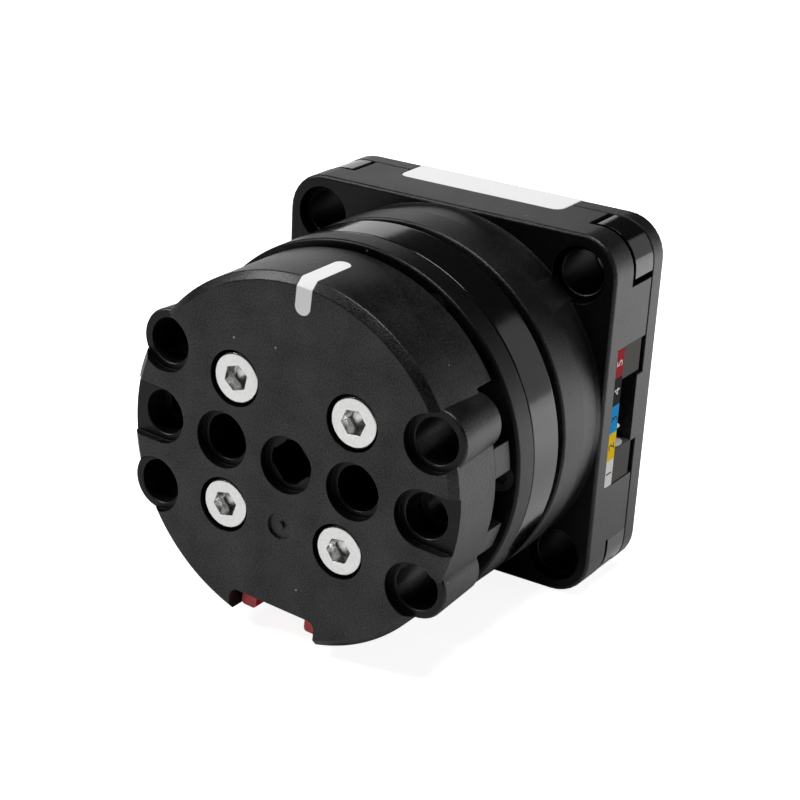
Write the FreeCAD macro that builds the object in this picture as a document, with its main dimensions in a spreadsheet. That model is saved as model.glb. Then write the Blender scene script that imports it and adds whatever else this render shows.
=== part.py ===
import FreeCAD, Part
import math
import os
import Sketcher

# Robot joint actuator: a brushless motor, a planetary reduction and a pin-hole output disc.
# The output axis is Y. The rear face lies at y = 0 and the output disc faces -Y. Every place
# along the axis is given as a depth behind the disc's front face, in millimetres.

Vec = FreeCAD.Vector

SIZES = (
    # overall
    ("overall_length", 40.0, "front of the output disc to the rear face"),
    ("pitch", 8.0, "grid of the pin holes"),
    ("output_angle", 4.5, "how far the output stands turned at rest, degrees"),
    ("fit", 0.05, "radial clearance of a running or located fit"),
    ("gap", 0.15, "clearance between parts that slide or drop in"),
    # pin holes, shared by disc, flange, posts and cover
    ("pin_radius", 2.4, "bore that takes a construction pin"),
    ("pin_mouth_radius", 3.1, "counterbore at the mouth of a pin hole"),
    ("pin_mouth_depth", 1.0, "depth of that counterbore"),
    # output disc
    ("disc_margin", 3.7, "from the outer row of pin holes to the edge of the disc"),
    ("disc_chamfer", 0.8, "front edge of the disc"),
    ("plate_thickness", 1.6, "front plate of the disc"),
    ("skirt_wall", 1.8, "rim wall behind the plate"),
    ("skirt_depth", 10.4, "rear edge of the rim"),
    ("window_depth", 7.5, "rear edge of the rim at the two sides"),
    ("rim_end_angle", 35.7, "where the deep rim stops beside the corner tubes, degrees"),
    ("boss_depth", 8.0, "rear end of bosses and tubes; front of the hub"),
    ("boss_radius", 3.7, "boss around a middle pin hole"),
    ("outer_boss_radius", 3.35, "boss around an outer pin hole, inside the rim"),
    ("tube_radius", 3.05, "corner tube at its rear end"),
    ("tube_draft", 2.4, "draft of the corner tubes, degrees"),
    ("rib_half", 0.6, "half thickness of the disc's ribs"),
    ("spline_radius", 1.95, "centre hole of the disc inside its notches"),
    ("spline_notch", 0.5, "radius of the notches in the centre hole"),
    ("spline_count", 8, "notches in the centre hole"),
    ("gate_radius", 1.45, "round gate mark under the centre hole"),
    ("gate_height", 6.9, "how far the gate mark lies below the axis"),
    # disc screws, M3 socket heads
    ("screw_circle", 10.0, "radius of the bolt circle"),
    ("m3_radius", 1.5, "shank of the M3 screws"),
    ("m3_head_radius", 2.75, "head of the M3 screws"),
    ("m3_head_height", 3.0, "head height of the M3 screws"),
    ("m3_hex", 2.5, "hexagon across flats"),
    ("m3_head_depth", 0.3, "head top below the disc face"),
    ("m3_mouth_radius", 3.0, "counterbore of the M3 screws"),
    ("m3_boss_radius", 3.9, "boss around an M3 screw"),
    # release latch in the notch at the disc's lower edge
    ("notch_half", 5.35, "half width of the notch"),
    ("notch_rise", 3.55, "height of the notch from the edge of the disc"),
    ("lug_inner", 3.1, "inner side of the latch lugs"),
    ("lug_outer", 4.9, "outer side of the latch lugs"),
    ("lug_inset", 1.1, "lower end of the latch lugs from the edge of the disc"),
    ("latch_rise", 6.7, "upper side of the latch bar from the edge of the disc"),
    ("latch_thickness", 2.9, "thickness of the latch along the axis"),
    ("latch_travel", 1.2, "how far the latch can be pressed in"),
    ("spring_seat", 5.4, "upper seat of the latch spring below the axis"),
    ("spring_radius", 1.1, "mean radius of the latch spring"),
    ("spring_wire", 0.18, "radius of the spring wire"),
    ("spring_turns", 5, "coils of the latch spring"),
    # output hub and planet carrier
    ("hub_radius", 14.0, "front flange of the output hub"),
    ("hub_thickness", 3.0, "thickness of that flange"),
    ("dog_low", 2.95, "inner side of a driving dog from the middle plane"),
    ("dog_margin", 1.8, "outer side of a driving dog from the row of the tubes"),
    ("shoulder_radius", 11.0, "shoulder against the bearing's inner race"),
    ("pillar_radius", 1.8, "pillars between hub and carrier plate"),
    ("pillar_circle", 8.1, "radius on which the pillars stand"),
    ("pin_shaft_radius", 1.0, "planet pins"),
    ("carrier_radius", 10.0, "rear carrier plate"),
    ("carrier_thickness", 1.0, "rear carrier plate"),
    ("m2_radius", 1.0, "shank of the M2 screws"),
    ("m2_head_radius", 1.75, "head of the M2 screws"),
    ("m2_head_height", 1.0, "head height of the M2 screws"),
    # gear train
    ("gear_module", 0.5, "module of all gears"),
    ("sun_teeth", 12, "teeth of the sun gear"),
    ("planet_teeth", 18, "teeth of each planet gear"),
    ("pressure_angle", 20.0, "degrees"),
    ("backlash", 0.045, "thinning of each tooth at the pitch circle"),
    ("gear_width", 3.2, "face width of the planets"),
    ("ring_wall", 2.8, "from the ring gear's pitch circle to its outside"),
    ("bush_wall", 0.5, "wall of the bronze bushes in the planets"),
    # output bearing, 20 x 27 x 4
    ("bearing_bore", 10.0, "radius of the bore"),
    ("bearing_outer", 13.5, "outside radius"),
    ("bearing_width", 4.0, "width"),
    ("bearing_ball", 1.0, "ball radius"),
    ("bearing_balls", 14, "number of balls"),
    # gearbox front cover and gear housing
    ("cover_front", 11.1, "front face of the gearbox cover"),
    ("cover_thickness", 2.95, "thickness of its rim"),
    ("cover_recess", 0.5, "recess that clears the hub flange"),
    ("recess_margin", 2.7, "from the edge of that recess to the screw circle"),
    ("cover_lip_radius", 12.6, "lip in front of the bearing"),
    ("cover_lip", 0.4, "thickness of that lip"),
    ("seam", 0.06, "parting gap between the housing rings"),
    ("edge_break", 0.25, "chamfer on the edges of the housing rings"),
    ("gear_housing_rear", 19.2, "rear edge of the glossy ring"),
    ("groove_width", 1.3, "open groove behind the glossy ring"),
    ("spigot_step", 1.05, "how far the spigot of the gear housing lies inside the outline"),
    ("spigot_depth", 1.0, "how far the spigot enters the base housing"),
    ("stack_inset", 2.45, "circle of the long housing screws, inside the outline"),
    ("stack_count", 6, "number of long housing screws"),
    ("stack_grip", 5.0, "thread length in the base housing"),
    # base housing
    ("collar_front", 24.9, "where the textured ring steps down to the collar"),
    ("collar_step", 0.15, "height of that step"),
    ("flange_front", 28.86, "front face of the square flange"),
    ("cover_line", 37.5, "parting line between base housing and rear cover"),
    ("corner_radius", 4.35, "corners of the square flange, about the pin holes"),
    ("edge_round", 0.6, "front edge of the flange"),
    ("corner_pocket_rise", 0.5, "how far the corner pocket cuts forward of the collar"),
    ("ear_rear", 33.1, "rear face of the corner ears"),
    ("ear_slot", 0.8, "open slot behind the ears"),
    ("post_gap", 0.4, "clearance around the corner posts"),
    ("post_inset", 0.1, "how far the posts lie inside the flange outline"),
    ("bore_margin", 1.6, "from the bore around the motor to the screw circle"),
    ("wall", 2.05, "wall of the square part"),
    # connector side
    ("socket_front", 32.8, "front edge of the connector window"),
    ("socket_half", 8.0, "half length of the connector window"),
    ("socket_open_half", 4.05, "half length of the open socket"),
    ("socket_rear", 36.3, "rear edge of the open socket"),
    ("bezel_rear", 36.85, "rear face of the grey connector blocks"),
    ("bezel_plate", 1.0, "inner plate that joins the two blocks"),
    ("bezel_depth", 3.75, "inner face of that plate behind the side face"),
    ("header_depth", 8.75, "inner end of the connector header behind the side face"),
    ("header_wall", 0.6, "walls of the header"),
    ("contact_pitch", 1.25, "spacing of the contacts"),
    ("contact_count", 5, "number of contacts"),
    ("contact_size", 0.5, "thickness of a contact"),
    ("label_front", 31.1, "front edge of the wiring label"),
    ("label_half", 7.95, "half length of the wiring label"),
    ("label_thickness", 0.1, "sticker thickness, let into the wall"),
    # light strip
    ("strip_half", 10.2, "half length of the light strip"),
    ("strip_front", 34.7, "front edge of the light strip"),
    ("strip_round", 1.2, "front corners of the light strip"),
    # motor
    ("shaft_radius", 1.5, "rotor shaft"),
    ("bell_clearance", 0.4, "between the rotor bell and its bore"),
    ("bell_wall", 0.9, "wall of the bell"),
    ("bell_front", 21.9, "front of the bell"),
    ("bell_rear", 32.6, "open rear edge of the bell"),
    ("bell_hole_radius", 2.3, "cooling holes in the bell's web"),
    ("magnet_thickness", 0.85, "rotor magnets"),
    ("magnet_count", 14, "rotor magnets"),
    ("magnet_slot", 0.35, "half the gap between two magnets"),
    ("air_gap", 0.3, "between magnets and stator"),
    ("stack_front", 24.8, "front of the stator stack"),
    ("stack_length", 6.6, "length of the stator stack"),
    ("slot_count", 12, "stator teeth"),
    ("tooth_half", 1.0, "half width of a stator tooth"),
    ("stator_hub", 7.0, "outside of the stator's inner ring"),
    ("coil_wall", 0.75, "thickness of a winding"),
    ("coil_inner", 8.2, "inner end of a winding"),
    ("coil_inset", 3.7, "outer end of a winding inside the bell's outline"),
    ("tower_radius", 4.6, "bracket tube inside the stator"),
    ("rotor_bearing_outer", 3.0, "outside radius of the rotor bearings"),
    ("rotor_bearing_width", 2.5, "width of the rotor bearings"),
    ("rotor_bearing_ball", 0.45, "ball radius"),
    ("rotor_bearing_balls", 7, "balls in each rotor bearing"),
    ("magnet_disc_radius", 2.5, "encoder magnet"),
    ("magnet_disc_thickness", 1.0, "encoder magnet"),
    # bracket, board and rear cover
    ("bracket_thickness", 1.5, "plate that carries the motor"),
    ("board_front", 36.9, "front face of the control board"),
    ("board_thickness", 1.0, "control board"),
    ("chip_half", 2.0, "half width of the encoder chip"),
    ("chip_height", 0.5, "height of the encoder chip"),
    ("chassis_x", 9.2, "bracket screws from the axis, along X"),
    ("chassis_inset", 4.75, "bracket screws from the top and bottom faces"),
    ("chassis_grip", 4.4, "thread length of the bracket screws in the housing"),
    ("cover_screw_inset", 5.15, "rear cover screws from the side faces"),
    ("cover_screw_z", 10.4, "rear cover screws from the axis, along Z"),
    ("standoff_radius", 1.9, "stand-offs for board and cover"),
    ("cover_floor", 0.9, "outer wall of the rear cover"),
    ("cover_edge", 0.4, "chamfer on the rear edge of the cover"),
)


class Size:
    """A number together with the spreadsheet expression that gives it."""

    def __init__(self, value, text):
        self.value = value
        self.text = text

    @staticmethod
    def of(other):
        """Return other as a Size, so that plain numbers can be mixed in."""
        if isinstance(other, Size):
            return other
        return Size(float(other), f"({float(other)!r})")

    def _join(self, other, sign, value):
        return Size(value, f"({self.text} {sign} {Size.of(other).text})")

    def __add__(self, other):
        return self._join(other, "+", self.value + Size.of(other).value)

    def __sub__(self, other):
        return self._join(other, "-", self.value - Size.of(other).value)

    def __mul__(self, other):
        return self._join(other, "*", self.value * Size.of(other).value)

    def __truediv__(self, other):
        return self._join(other, "/", self.value / Size.of(other).value)

    def __radd__(self, other):
        return Size.of(other) + self

    def __rsub__(self, other):
        return Size.of(other) - self

    def __rmul__(self, other):
        return Size.of(other) * self

    def __rtruediv__(self, other):
        return Size.of(other) / self

    def __neg__(self):
        return Size(-self.value, f"(0 - {self.text})")


class Sizes:
    """The driving dimensions: one spreadsheet row each, read back as attributes."""

    def __init__(self, document, rows):
        self.sheet = document.addObject("Spreadsheet::Sheet", "Params")
        self.table = {}
        for row, (alias, value, meaning) in enumerate(rows, start=1):
            self.sheet.set(f"A{row}", alias)
            self.sheet.set(f"B{row}", str(value))
            self.sheet.set(f"C{row}", meaning)
            self.sheet.setAlias(f"B{row}", alias)
            self.table[alias] = Size(float(value), f"Params.{alias}")
        document.recompute()

    def __getattr__(self, alias):
        return self.table[alias]

    def derive(self):
        """Add the sizes that follow from others and a named clearance."""
        more = self.table
        more["body_radius"] = 2 * self.pitch + self.corner_radius
        more["disc_radius"] = 2 * self.pitch + self.disc_margin
        more["notch_height"] = self.disc_radius - self.notch_rise
        more["lug_low"] = self.disc_radius - self.lug_inset
        more["latch_high"] = self.disc_radius - self.latch_rise
        more["dog_high"] = self.pitch - self.dog_margin
        more["ring_radius"] = self.gear_module * (self.sun_teeth / 2 + self.planet_teeth) + self.ring_wall
        more["stack_circle"] = self.body_radius - self.stack_inset
        more["spigot_radius"] = self.body_radius - self.spigot_step
        more["cover_recess_radius"] = self.stack_circle - self.recess_margin
        more["motor_bore"] = self.stack_circle - self.bore_margin
        more["bell_radius"] = self.motor_bore - self.bell_clearance
        more["coil_outer"] = self.bell_radius - self.coil_inset
        more["bezel_inner"] = self.body_radius - self.bezel_depth
        more["header_inner"] = self.body_radius - self.header_depth
        more["chassis_z"] = self.body_radius - self.chassis_inset
        more["cover_screw_x"] = self.body_radius - self.cover_screw_inset


def cosine(angle):
    """Return the cosine of a Size in degrees."""
    return Size(math.cos(math.radians(angle.value)), f"cos({angle.text} * 1 deg)")


def sine(angle):
    """Return the sine of a Size in degrees."""
    return Size(math.sin(math.radians(angle.value)), f"sin({angle.text} * 1 deg)")


doc = FreeCAD.newDocument("JointActuator")
S = Sizes(doc, SIZES)
S.derive()
ZERO = Size.of(0)
NODES = []


# ---------------------------------------------------------------- tools


def along(depth):
    """Return the y of a depth behind the front face."""
    return depth - S.overall_length


def bind(item, name, size):
    """Set a property to a size's value and tie it to the spreadsheet."""
    item.setExpression(name, size.text)


def finish(item, label, turned=False):
    """Name a finished sub-part; turned ones stand with the output at its rest angle."""
    item.Label = label
    if turned:
        item.Placement = FreeCAD.Placement(Vec(), FreeCAD.Rotation(Vec(0, 1, 0), S.output_angle.value))
        item.setExpression("Placement.Rotation.Angle", S.output_angle.text)
    NODES.append(item)
    return item


def origin_item(body, role):
    """Return one of the body's own origin planes or axes."""
    return next(item for item in body.Origin.OriginFeatures if item.Role == role)


def new_sketch(body, plane, offset):
    """Return a sketch on one of the body's planes, moved along the plane's normal."""
    item = body.newObject("Sketcher::SketchObject", "Sketch")
    item.AttachmentSupport = [(origin_item(body, plane), "")]
    item.MapMode = "FlatFace"
    item.AttachmentOffset = FreeCAD.Placement(Vec(0, 0, offset.value), FreeCAD.Rotation())
    bind(item, "AttachmentOffset.Base.z", offset)
    return item


def constrain(item, kind, refs, size):
    """Add a dimensional constraint that the spreadsheet drives."""
    index = item.addConstraint(Sketcher.Constraint(kind, *refs, size.value))
    item.setExpression(f"Constraints[{index}]", size.text)


def place_point(item, geometry, position, x, y):
    """Fix a sketch point at sizes x and y from the sketch's origin."""
    for kind, axis, size in (("DistanceX", -2, x), ("DistanceY", -1, y)):
        if abs(size.value) < 1e-9:
            item.addConstraint(Sketcher.Constraint("PointOnObject", geometry, position, axis))
        else:
            constrain(item, kind, (-1, 1, geometry, position), size)


def circle(x, y, radius):
    """Return a drawing step: a circle."""

    def draw(item):
        centre = Vec(Size.of(x).value, Size.of(y).value, 0)
        index = item.addGeometry(Part.Circle(centre, Vec(0, 0, 1), radius.value), False)
        constrain(item, "Radius", (index,), radius)
        place_point(item, index, 3, Size.of(x), Size.of(y))

    return draw


def polygon(points):
    """Return a drawing step: a closed outline of straight lines."""

    def draw(item):
        corners = [(Size.of(x), Size.of(y)) for x, y in points]
        lines = []
        for here, there in zip(corners, corners[1:] + corners[:1]):
            start = Vec(here[0].value, here[1].value, 0)
            end = Vec(there[0].value, there[1].value, 0)
            lines.append(item.addGeometry(Part.LineSegment(start, end), False))
        for line, after in zip(lines, lines[1:] + lines[:1]):
            item.addConstraint(Sketcher.Constraint("Coincident", line, 2, after, 1))
        for line, corner in zip(lines, corners):
            place_point(item, line, 1, *corner)

    return draw


def rectangle(x0, x1, y0, y1):
    """Return a drawing step: an upright rectangle."""
    return polygon(((x0, y0), (x1, y0), (x1, y1), (x0, y1)))


def square(half):
    """Return a drawing step: a square about the axis."""
    return rectangle(-half, half, -half, half)


def hexagon(x, y, across):
    """Return a drawing step: a hexagon with two flats level."""
    side = across / math.sqrt(3)
    half = across / 2
    return polygon(
        (
            (x + side, y),
            (x + side / 2, y + half),
            (x - side / 2, y + half),
            (x - side, y),
            (x - side / 2, y - half),
            (x + side / 2, y - half),
        )
    )


def four(x, y):
    """Return the four mirror images of a point."""
    return ((x, y), (-x, y), (x, -y), (-x, -y))


def slab(body, front, rear, *drawings):
    """Pad a drawing seen from the front, from one depth to another."""
    item = new_sketch(body, "XZ_Plane", -along(rear))
    for draw in drawings:
        draw(item)
    pad = body.newObject("PartDesign::Pad", "Pad")
    pad.Profile = item
    bind(pad, "Length", rear - front)
    return pad


def well(body, front, rear, *drawings):
    """Pocket a drawing seen from the front, from one depth to another."""
    item = new_sketch(body, "XZ_Plane", -along(front))
    for draw in drawings:
        draw(item)
    pocket = body.newObject("PartDesign::Pocket", "Pocket")
    pocket.Profile = item
    bind(pocket, "Length", rear - front)
    return pocket


def turn(body, profile):
    """Revolve a closed profile of (radius, depth) points about the output axis."""
    item = new_sketch(body, "XY_Plane", ZERO)
    polygon([(radius, along(Size.of(depth))) for radius, depth in profile])(item)
    lathe = body.newObject("PartDesign::Revolution", "Revolution")
    lathe.Profile = item
    lathe.ReferenceAxis = (item, ["V_Axis"])
    lathe.Angle = 360
    return lathe


def polar(body, originals, count):
    """Repeat features evenly about the output axis."""
    pattern = body.newObject("PartDesign::PolarPattern", "PolarPattern")
    pattern.Originals = originals
    pattern.Axis = (origin_item(body, "Y_Axis"), [""])
    pattern.Angle = 360
    bind(pattern, "Occurrences", count)
    body.Tip = pattern
    return pattern


def soften(body, kind, size, chosen):
    """Fillet or chamfer the edges of the body for which chosen(edge) is true."""
    doc.recompute()
    base = body.Tip
    names = [f"Edge{n}" for n, edge in enumerate(base.Shape.Edges, start=1) if chosen(edge)]
    feature = body.newObject(f"PartDesign::{kind}", kind)
    feature.Base = (base, names)
    bind(feature, "Radius" if kind == "Fillet" else "Size", size)
    return feature


def is_axial(edge):
    """Tell whether an edge runs straight along the output axis."""
    if edge.Curve.TypeId != "Part::GeomLine":
        return False
    return abs(abs(edge.tangentAt(edge.FirstParameter).y) - 1) < 1e-6


def lies_at(edge, depth):
    """Tell whether an edge lies wholly at one depth."""
    level = along(depth).value
    box = edge.BoundBox
    return abs(box.YMin - level) < 1e-4 and abs(box.YMax - level) < 1e-4


def new_body(name):
    """Return an empty body."""
    return doc.addObject("PartDesign::Body", name)


def rod(x, z, radius, front, rear):
    """Return a cylinder along the output axis."""
    item = doc.addObject("Part::Cylinder", "Rod")
    item.Placement = FreeCAD.Placement(Vec(), FreeCAD.Rotation(Vec(1, 0, 0), -90))
    bind(item, "Radius", radius)
    bind(item, "Height", rear - front)
    bind(item, "Placement.Base.x", Size.of(x))
    bind(item, "Placement.Base.y", along(front))
    bind(item, "Placement.Base.z", Size.of(z))
    return item


def block(x0, x1, front, rear, z0, z1):
    """Return a box given by its six sides."""
    item = doc.addObject("Part::Box", "Block")
    bind(item, "Length", x1 - x0)
    bind(item, "Width", rear - front)
    bind(item, "Height", z1 - z0)
    bind(item, "Placement.Base.x", x0)
    bind(item, "Placement.Base.y", along(front))
    bind(item, "Placement.Base.z", z0)
    return item


def join(*items):
    """Fuse items."""
    if len(items) == 1:
        return items[0]
    item = doc.addObject("Part::MultiFuse", "Join")
    item.Shapes = list(items)
    return item


def cut(base, *tools):
    """Cut tools out of a base."""
    item = doc.addObject("Part::Cut", "Cut")
    item.Base = base
    item.Tool = join(*tools)
    return item


def group(solids):
    """Return identical pieces as one sub-part of separate solids."""
    item = doc.addObject("Part::Compound", "Group")
    item.Links = list(solids)
    return item


def ring(outer, inner, front, rear):
    """Return a plain ring about the output axis."""
    return cut(rod(0, 0, outer, front, rear), rod(0, 0, inner, front, rear))


# ---------------------------------------------------------------- depths that follow


hub_rear_flange = S.boss_depth + S.hub_thickness
bearing_front = S.cover_front + S.cover_recess + S.cover_lip
bearing_rear = bearing_front + S.bearing_width
planet_front = bearing_rear + 0.3
planet_rear = planet_front + S.gear_width
carrier_front = planet_rear + 0.3
carrier_rear = carrier_front + S.carrier_thickness
cover_rim_rear = S.cover_front + S.cover_thickness
base_front = S.gear_housing_rear + S.groove_width
spigot_rear = base_front + S.spigot_depth
post_front = S.ear_rear + S.ear_slot
bracket_rear = post_front + S.bracket_thickness
board_rear = S.board_front + S.board_thickness
cavity_rear = S.overall_length - S.cover_floor
cavity_half = S.body_radius - S.wall
grid_half = S.pitch * 2
ring_teeth = S.sun_teeth + 2 * S.planet_teeth
planet_circle = S.gear_module * (S.sun_teeth + S.planet_teeth) / 2
screw_side = S.screw_circle / math.sqrt(2)
m3_seat = S.m3_head_depth + S.m3_head_height
magnet_outer = S.bell_radius - S.bell_wall - S.gap / 3
magnet_inner = magnet_outer - S.magnet_thickness
stator_radius = magnet_inner - S.air_gap
stack_rear = S.stack_front + S.stack_length


# ---------------------------------------------------------------- output disc and its screws


def output_disc():
    """The moulded disc that other parts are pinned to."""
    body = new_body("OutputDisc")
    rim = S.disc_radius
    turn(
        body,
        (
            (0, 0),
            (rim - S.disc_chamfer, 0),
            (rim, S.disc_chamfer),
            (rim, S.skirt_depth),
            (rim - S.skirt_wall, S.skirt_depth),
            (rim - S.skirt_wall, S.plate_thickness),
            (0, S.plate_thickness),
        ),
    )
    reach = rim * 1.4
    run = reach * cosine(S.rim_end_angle)
    rise = reach * sine(S.rim_end_angle)
    wedge = polygon(((0, 0), (run, -rise), (run, rise)))
    other_wedge = polygon(((0, 0), (-run, rise), (-run, -rise)))
    well(body, S.window_depth, S.skirt_depth, wedge)
    well(body, S.window_depth, S.skirt_depth, other_wedge)
    tubes = slab(
        body, S.pin_mouth_depth, S.boss_depth, *(circle(x, z, S.tube_radius) for x, z in four(grid_half, S.pitch))
    )
    bind(tubes, "TaperAngle", S.tube_draft)
    for x in (ZERO, S.pitch, -S.pitch):
        slab(body, S.plate_thickness, S.boss_depth, circle(x, 0, S.boss_radius))
    for side in (1, -1):
        slab(body, S.plate_thickness, S.window_depth, circle(side * grid_half, 0, S.outer_boss_radius))
    for x, z in four(screw_side, screw_side):
        slab(body, S.plate_thickness, S.boss_depth, circle(x, z, S.m3_boss_radius))
    inside = rim - S.skirt_wall / 2
    slab(body, S.plate_thickness, S.window_depth, rectangle(-inside, inside, -S.rib_half, S.rib_half))
    slab(body, S.plate_thickness, S.window_depth, rectangle(-S.rib_half, S.rib_half, ZERO, inside))
    guide_rear = S.plate_thickness + S.latch_thickness + S.gap * 2 + 0.9
    guide = S.lug_outer + S.gap
    for side in (1, -1):
        slab(
            body,
            S.plate_thickness,
            guide_rear,
            rectangle(side * guide, side * (guide + 1), -S.notch_height + 0.2, -S.latch_high + S.latch_travel),
        )
        slab(
            body,
            guide_rear - 0.9,
            guide_rear,
            rectangle(side * (guide - 0.8), side * (guide + 1), -S.notch_height + 0.2, -S.latch_high + S.latch_travel),
        )
    slab(
        body,
        S.plate_thickness,
        S.plate_thickness + S.latch_thickness + 1,
        rectangle(-S.spring_radius * 1.5, S.spring_radius * 1.5, -S.spring_seat, ZERO),
    )
    mouth = S.pin_mouth_radius
    for x, z in ((ZERO, ZERO), (S.pitch, ZERO), (-S.pitch, ZERO)) + four(grid_half, S.pitch):
        well(body, ZERO, S.pin_mouth_depth, circle(x, z, mouth))
    for side in (1, -1):
        well(body, ZERO, S.pin_mouth_depth, circle(side * grid_half, 0, mouth))
        well(body, ZERO, S.pin_mouth_depth, rectangle(side * grid_half, side * reach, -mouth, mouth))
    bores = [(side * x, ZERO) for x in (S.pitch, grid_half) for side in (1, -1)]
    bores.extend(four(grid_half, S.pitch))
    well(body, ZERO, S.skirt_depth, *(circle(x, z, S.pin_radius) for x, z in bores))
    well(body, ZERO, S.skirt_depth, circle(0, 0, S.spline_radius))
    tooth = well(body, ZERO, S.skirt_depth, circle(S.spline_radius, 0, S.spline_notch))
    polar(body, [tooth], S.spline_count)
    corners = four(screw_side, screw_side)
    well(body, ZERO, m3_seat, *(circle(x, z, S.m3_mouth_radius) for x, z in corners))
    well(body, ZERO, S.skirt_depth, *(circle(x, z, S.m3_radius + S.gap) for x, z in corners))
    gate = -S.gate_height
    well(body, ZERO, S.gap, circle(0, gate, S.gate_radius), circle(0, gate, S.gate_radius / 4))
    well(body, ZERO, S.skirt_depth, rectangle(-S.notch_half, S.notch_half, -reach, -S.notch_height))
    soften(body, "Fillet", S.gap * 5, notch_corner)
    soften(body, "Chamfer", S.gap * 2, notch_top)
    return finish(body, "output_disc", turned=True)


def notch_corner(edge):
    """Pick the two inner corners of the notch."""
    if not is_axial(edge):
        return False
    middle = edge.CenterOfMass
    beside = abs(abs(middle.x) - S.notch_half.value) < 1e-3
    return beside and abs(middle.z + S.notch_height.value) < 1e-3


def notch_top(edge):
    """Pick the front edge along the top of the notch."""
    box = edge.BoundBox
    level = abs(box.ZMin + S.notch_height.value) < 1e-3 and abs(box.ZMax + S.notch_height.value) < 1e-3
    return level and lies_at(edge, ZERO)


def disc_screws():
    """Four M3 socket-head screws that hold the disc to the hub."""
    screws = []
    tip = hub_rear_flange - S.gap
    for x, z in four(screw_side, screw_side):
        body = new_body("DiscScrew")
        slab(body, S.m3_head_depth, m3_seat, circle(x, z, S.m3_head_radius))
        slab(body, m3_seat, tip, circle(x, z, S.m3_radius))
        well(body, S.m3_head_depth, S.m3_head_depth + S.m3_head_height / 2, hexagon(x, z, S.m3_hex))
        screws.append(body)
    return finish(group(screws), "disc_screws", turned=True)


# ---------------------------------------------------------------- release latch


def release_latch():
    """The red slider with two lugs that look out of the disc's notch."""
    body = new_body("ReleaseLatch")
    front = S.plate_thickness + S.gap
    low = -S.lug_low
    base = -S.notch_height
    slab(
        body,
        front,
        front + S.latch_thickness,
        polygon(
            (
                (-S.lug_outer, low),
                (-S.lug_inner, low),
                (-S.lug_inner, base),
                (S.lug_inner, base),
                (S.lug_inner, low),
                (S.lug_outer, low),
                (S.lug_outer, -S.latch_high),
                (-S.lug_outer, -S.latch_high),
            )
        ),
    )
    soften(body, "Chamfer", S.gap * 2, lambda edge: lug_edge(edge, front))
    return finish(body, "release_latch", turned=True)


def lug_edge(edge, front):
    """Pick the lower front edges of the latch lugs."""
    return lies_at(edge, front) and abs(edge.BoundBox.ZMax + S.lug_low.value) < 1e-3


def latch_spring():
    """The coil spring that returns the latch, standing between latch bar and disc."""
    low = -S.latch_high + S.spring_wire
    high = -S.spring_seat - S.spring_wire
    height = (high - low).value
    centre = along(S.plate_thickness + S.gap + S.latch_thickness / 2).value
    coil = Part.makeHelix(height / S.spring_turns.value, height, S.spring_radius.value)
    coil.translate(Vec(0, centre, low.value))
    start = coil.Edges[0].valueAt(coil.Edges[0].FirstParameter)
    section = Part.Wire(Part.makeCircle(S.spring_wire.value, start, Vec(0, 1, 0)))
    item = doc.addObject("Part::Feature", "LatchSpring")
    item.Shape = Part.Wire(coil.Edges).makePipeShell([section], True, True)
    return finish(item, "latch_spring", turned=True)


# ---------------------------------------------------------------- output hub and carrier


def output_hub():
    """The metal hub: flange with driving dogs, bearing neck and three carrier pillars."""
    body = new_body("OutputHub")
    turn(
        body,
        (
            (0, S.boss_depth),
            (S.hub_radius, S.boss_depth),
            (S.hub_radius, hub_rear_flange),
            (S.shoulder_radius, hub_rear_flange),
            (S.shoulder_radius, bearing_front),
            (S.bearing_bore - S.fit / 5, bearing_front),
            (S.bearing_bore - S.fit / 5, bearing_rear),
            (0, bearing_rear),
        ),
    )
    inner = S.hub_radius * 0.8
    outer = S.disc_radius * 1.1
    for x_side in (1, -1):
        for z_side in (1, -1):
            slab(
                body,
                S.window_depth + S.gap / 3,
                S.skirt_depth,
                rectangle(x_side * inner, x_side * outer, z_side * S.dog_low, z_side * S.dog_high),
            )
    trim = (circle(0, 0, S.disc_radius), circle(0, 0, outer * 1.3))
    well(body, S.window_depth, S.skirt_depth, *trim)
    clear = S.tube_radius + S.boss_depth * 0.05
    for x, z in four(grid_half, S.pitch):
        well(body, S.window_depth, S.skirt_depth, circle(x, z, clear))
    pillar = slab(body, bearing_rear, carrier_front, circle(S.pillar_circle, 0, S.pillar_radius))
    polar(body, [pillar], Size.of(3))
    reliefs = ((ZERO, ZERO), (S.pitch, ZERO), (-S.pitch, ZERO))
    well(body, S.boss_depth, S.boss_depth + 2, *(circle(x, z, S.pin_mouth_radius) for x, z in reliefs))
    threads = four(screw_side, screw_side)
    well(body, S.boss_depth, hub_rear_flange, *(circle(x, z, S.m3_radius + S.fit) for x, z in threads))
    pin_hole = well(body, bearing_front, bearing_rear, circle(-planet_circle, 0, S.pin_shaft_radius))
    polar(body, [pin_hole], Size.of(3))
    thread = well(body, bearing_rear, carrier_front, circle(S.pillar_circle, 0, S.m2_radius * 0.8))
    polar(body, [thread], Size.of(3))
    return finish(body, "output_hub", turned=True)


def carrier_plate():
    """The rear carrier plate, screwed to the hub's pillars."""
    body = new_body("CarrierPlate")
    clear = S.gear_module * S.sun_teeth / 2 + S.gear_module + S.gap
    slab(body, carrier_front, carrier_rear, circle(0, 0, S.carrier_radius), circle(0, 0, clear))
    pin = well(body, carrier_front, carrier_rear, circle(-planet_circle, 0, S.pin_shaft_radius))
    polar(body, [pin], Size.of(3))
    hole = well(body, carrier_front, carrier_rear, circle(S.pillar_circle, 0, S.m2_radius * 0.8))
    polar(body, [hole], Size.of(3))
    return finish(body, "carrier_plate", turned=True)


def spread(count, radius, start=0.0):
    """Return evenly spread points on a circle, counted from X towards Z."""
    step = 360.0 / count
    angles = [Size.of(start + step * n) for n in range(count)]
    return [(radius * cosine(angle), radius * sine(angle)) for angle in angles]


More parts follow.
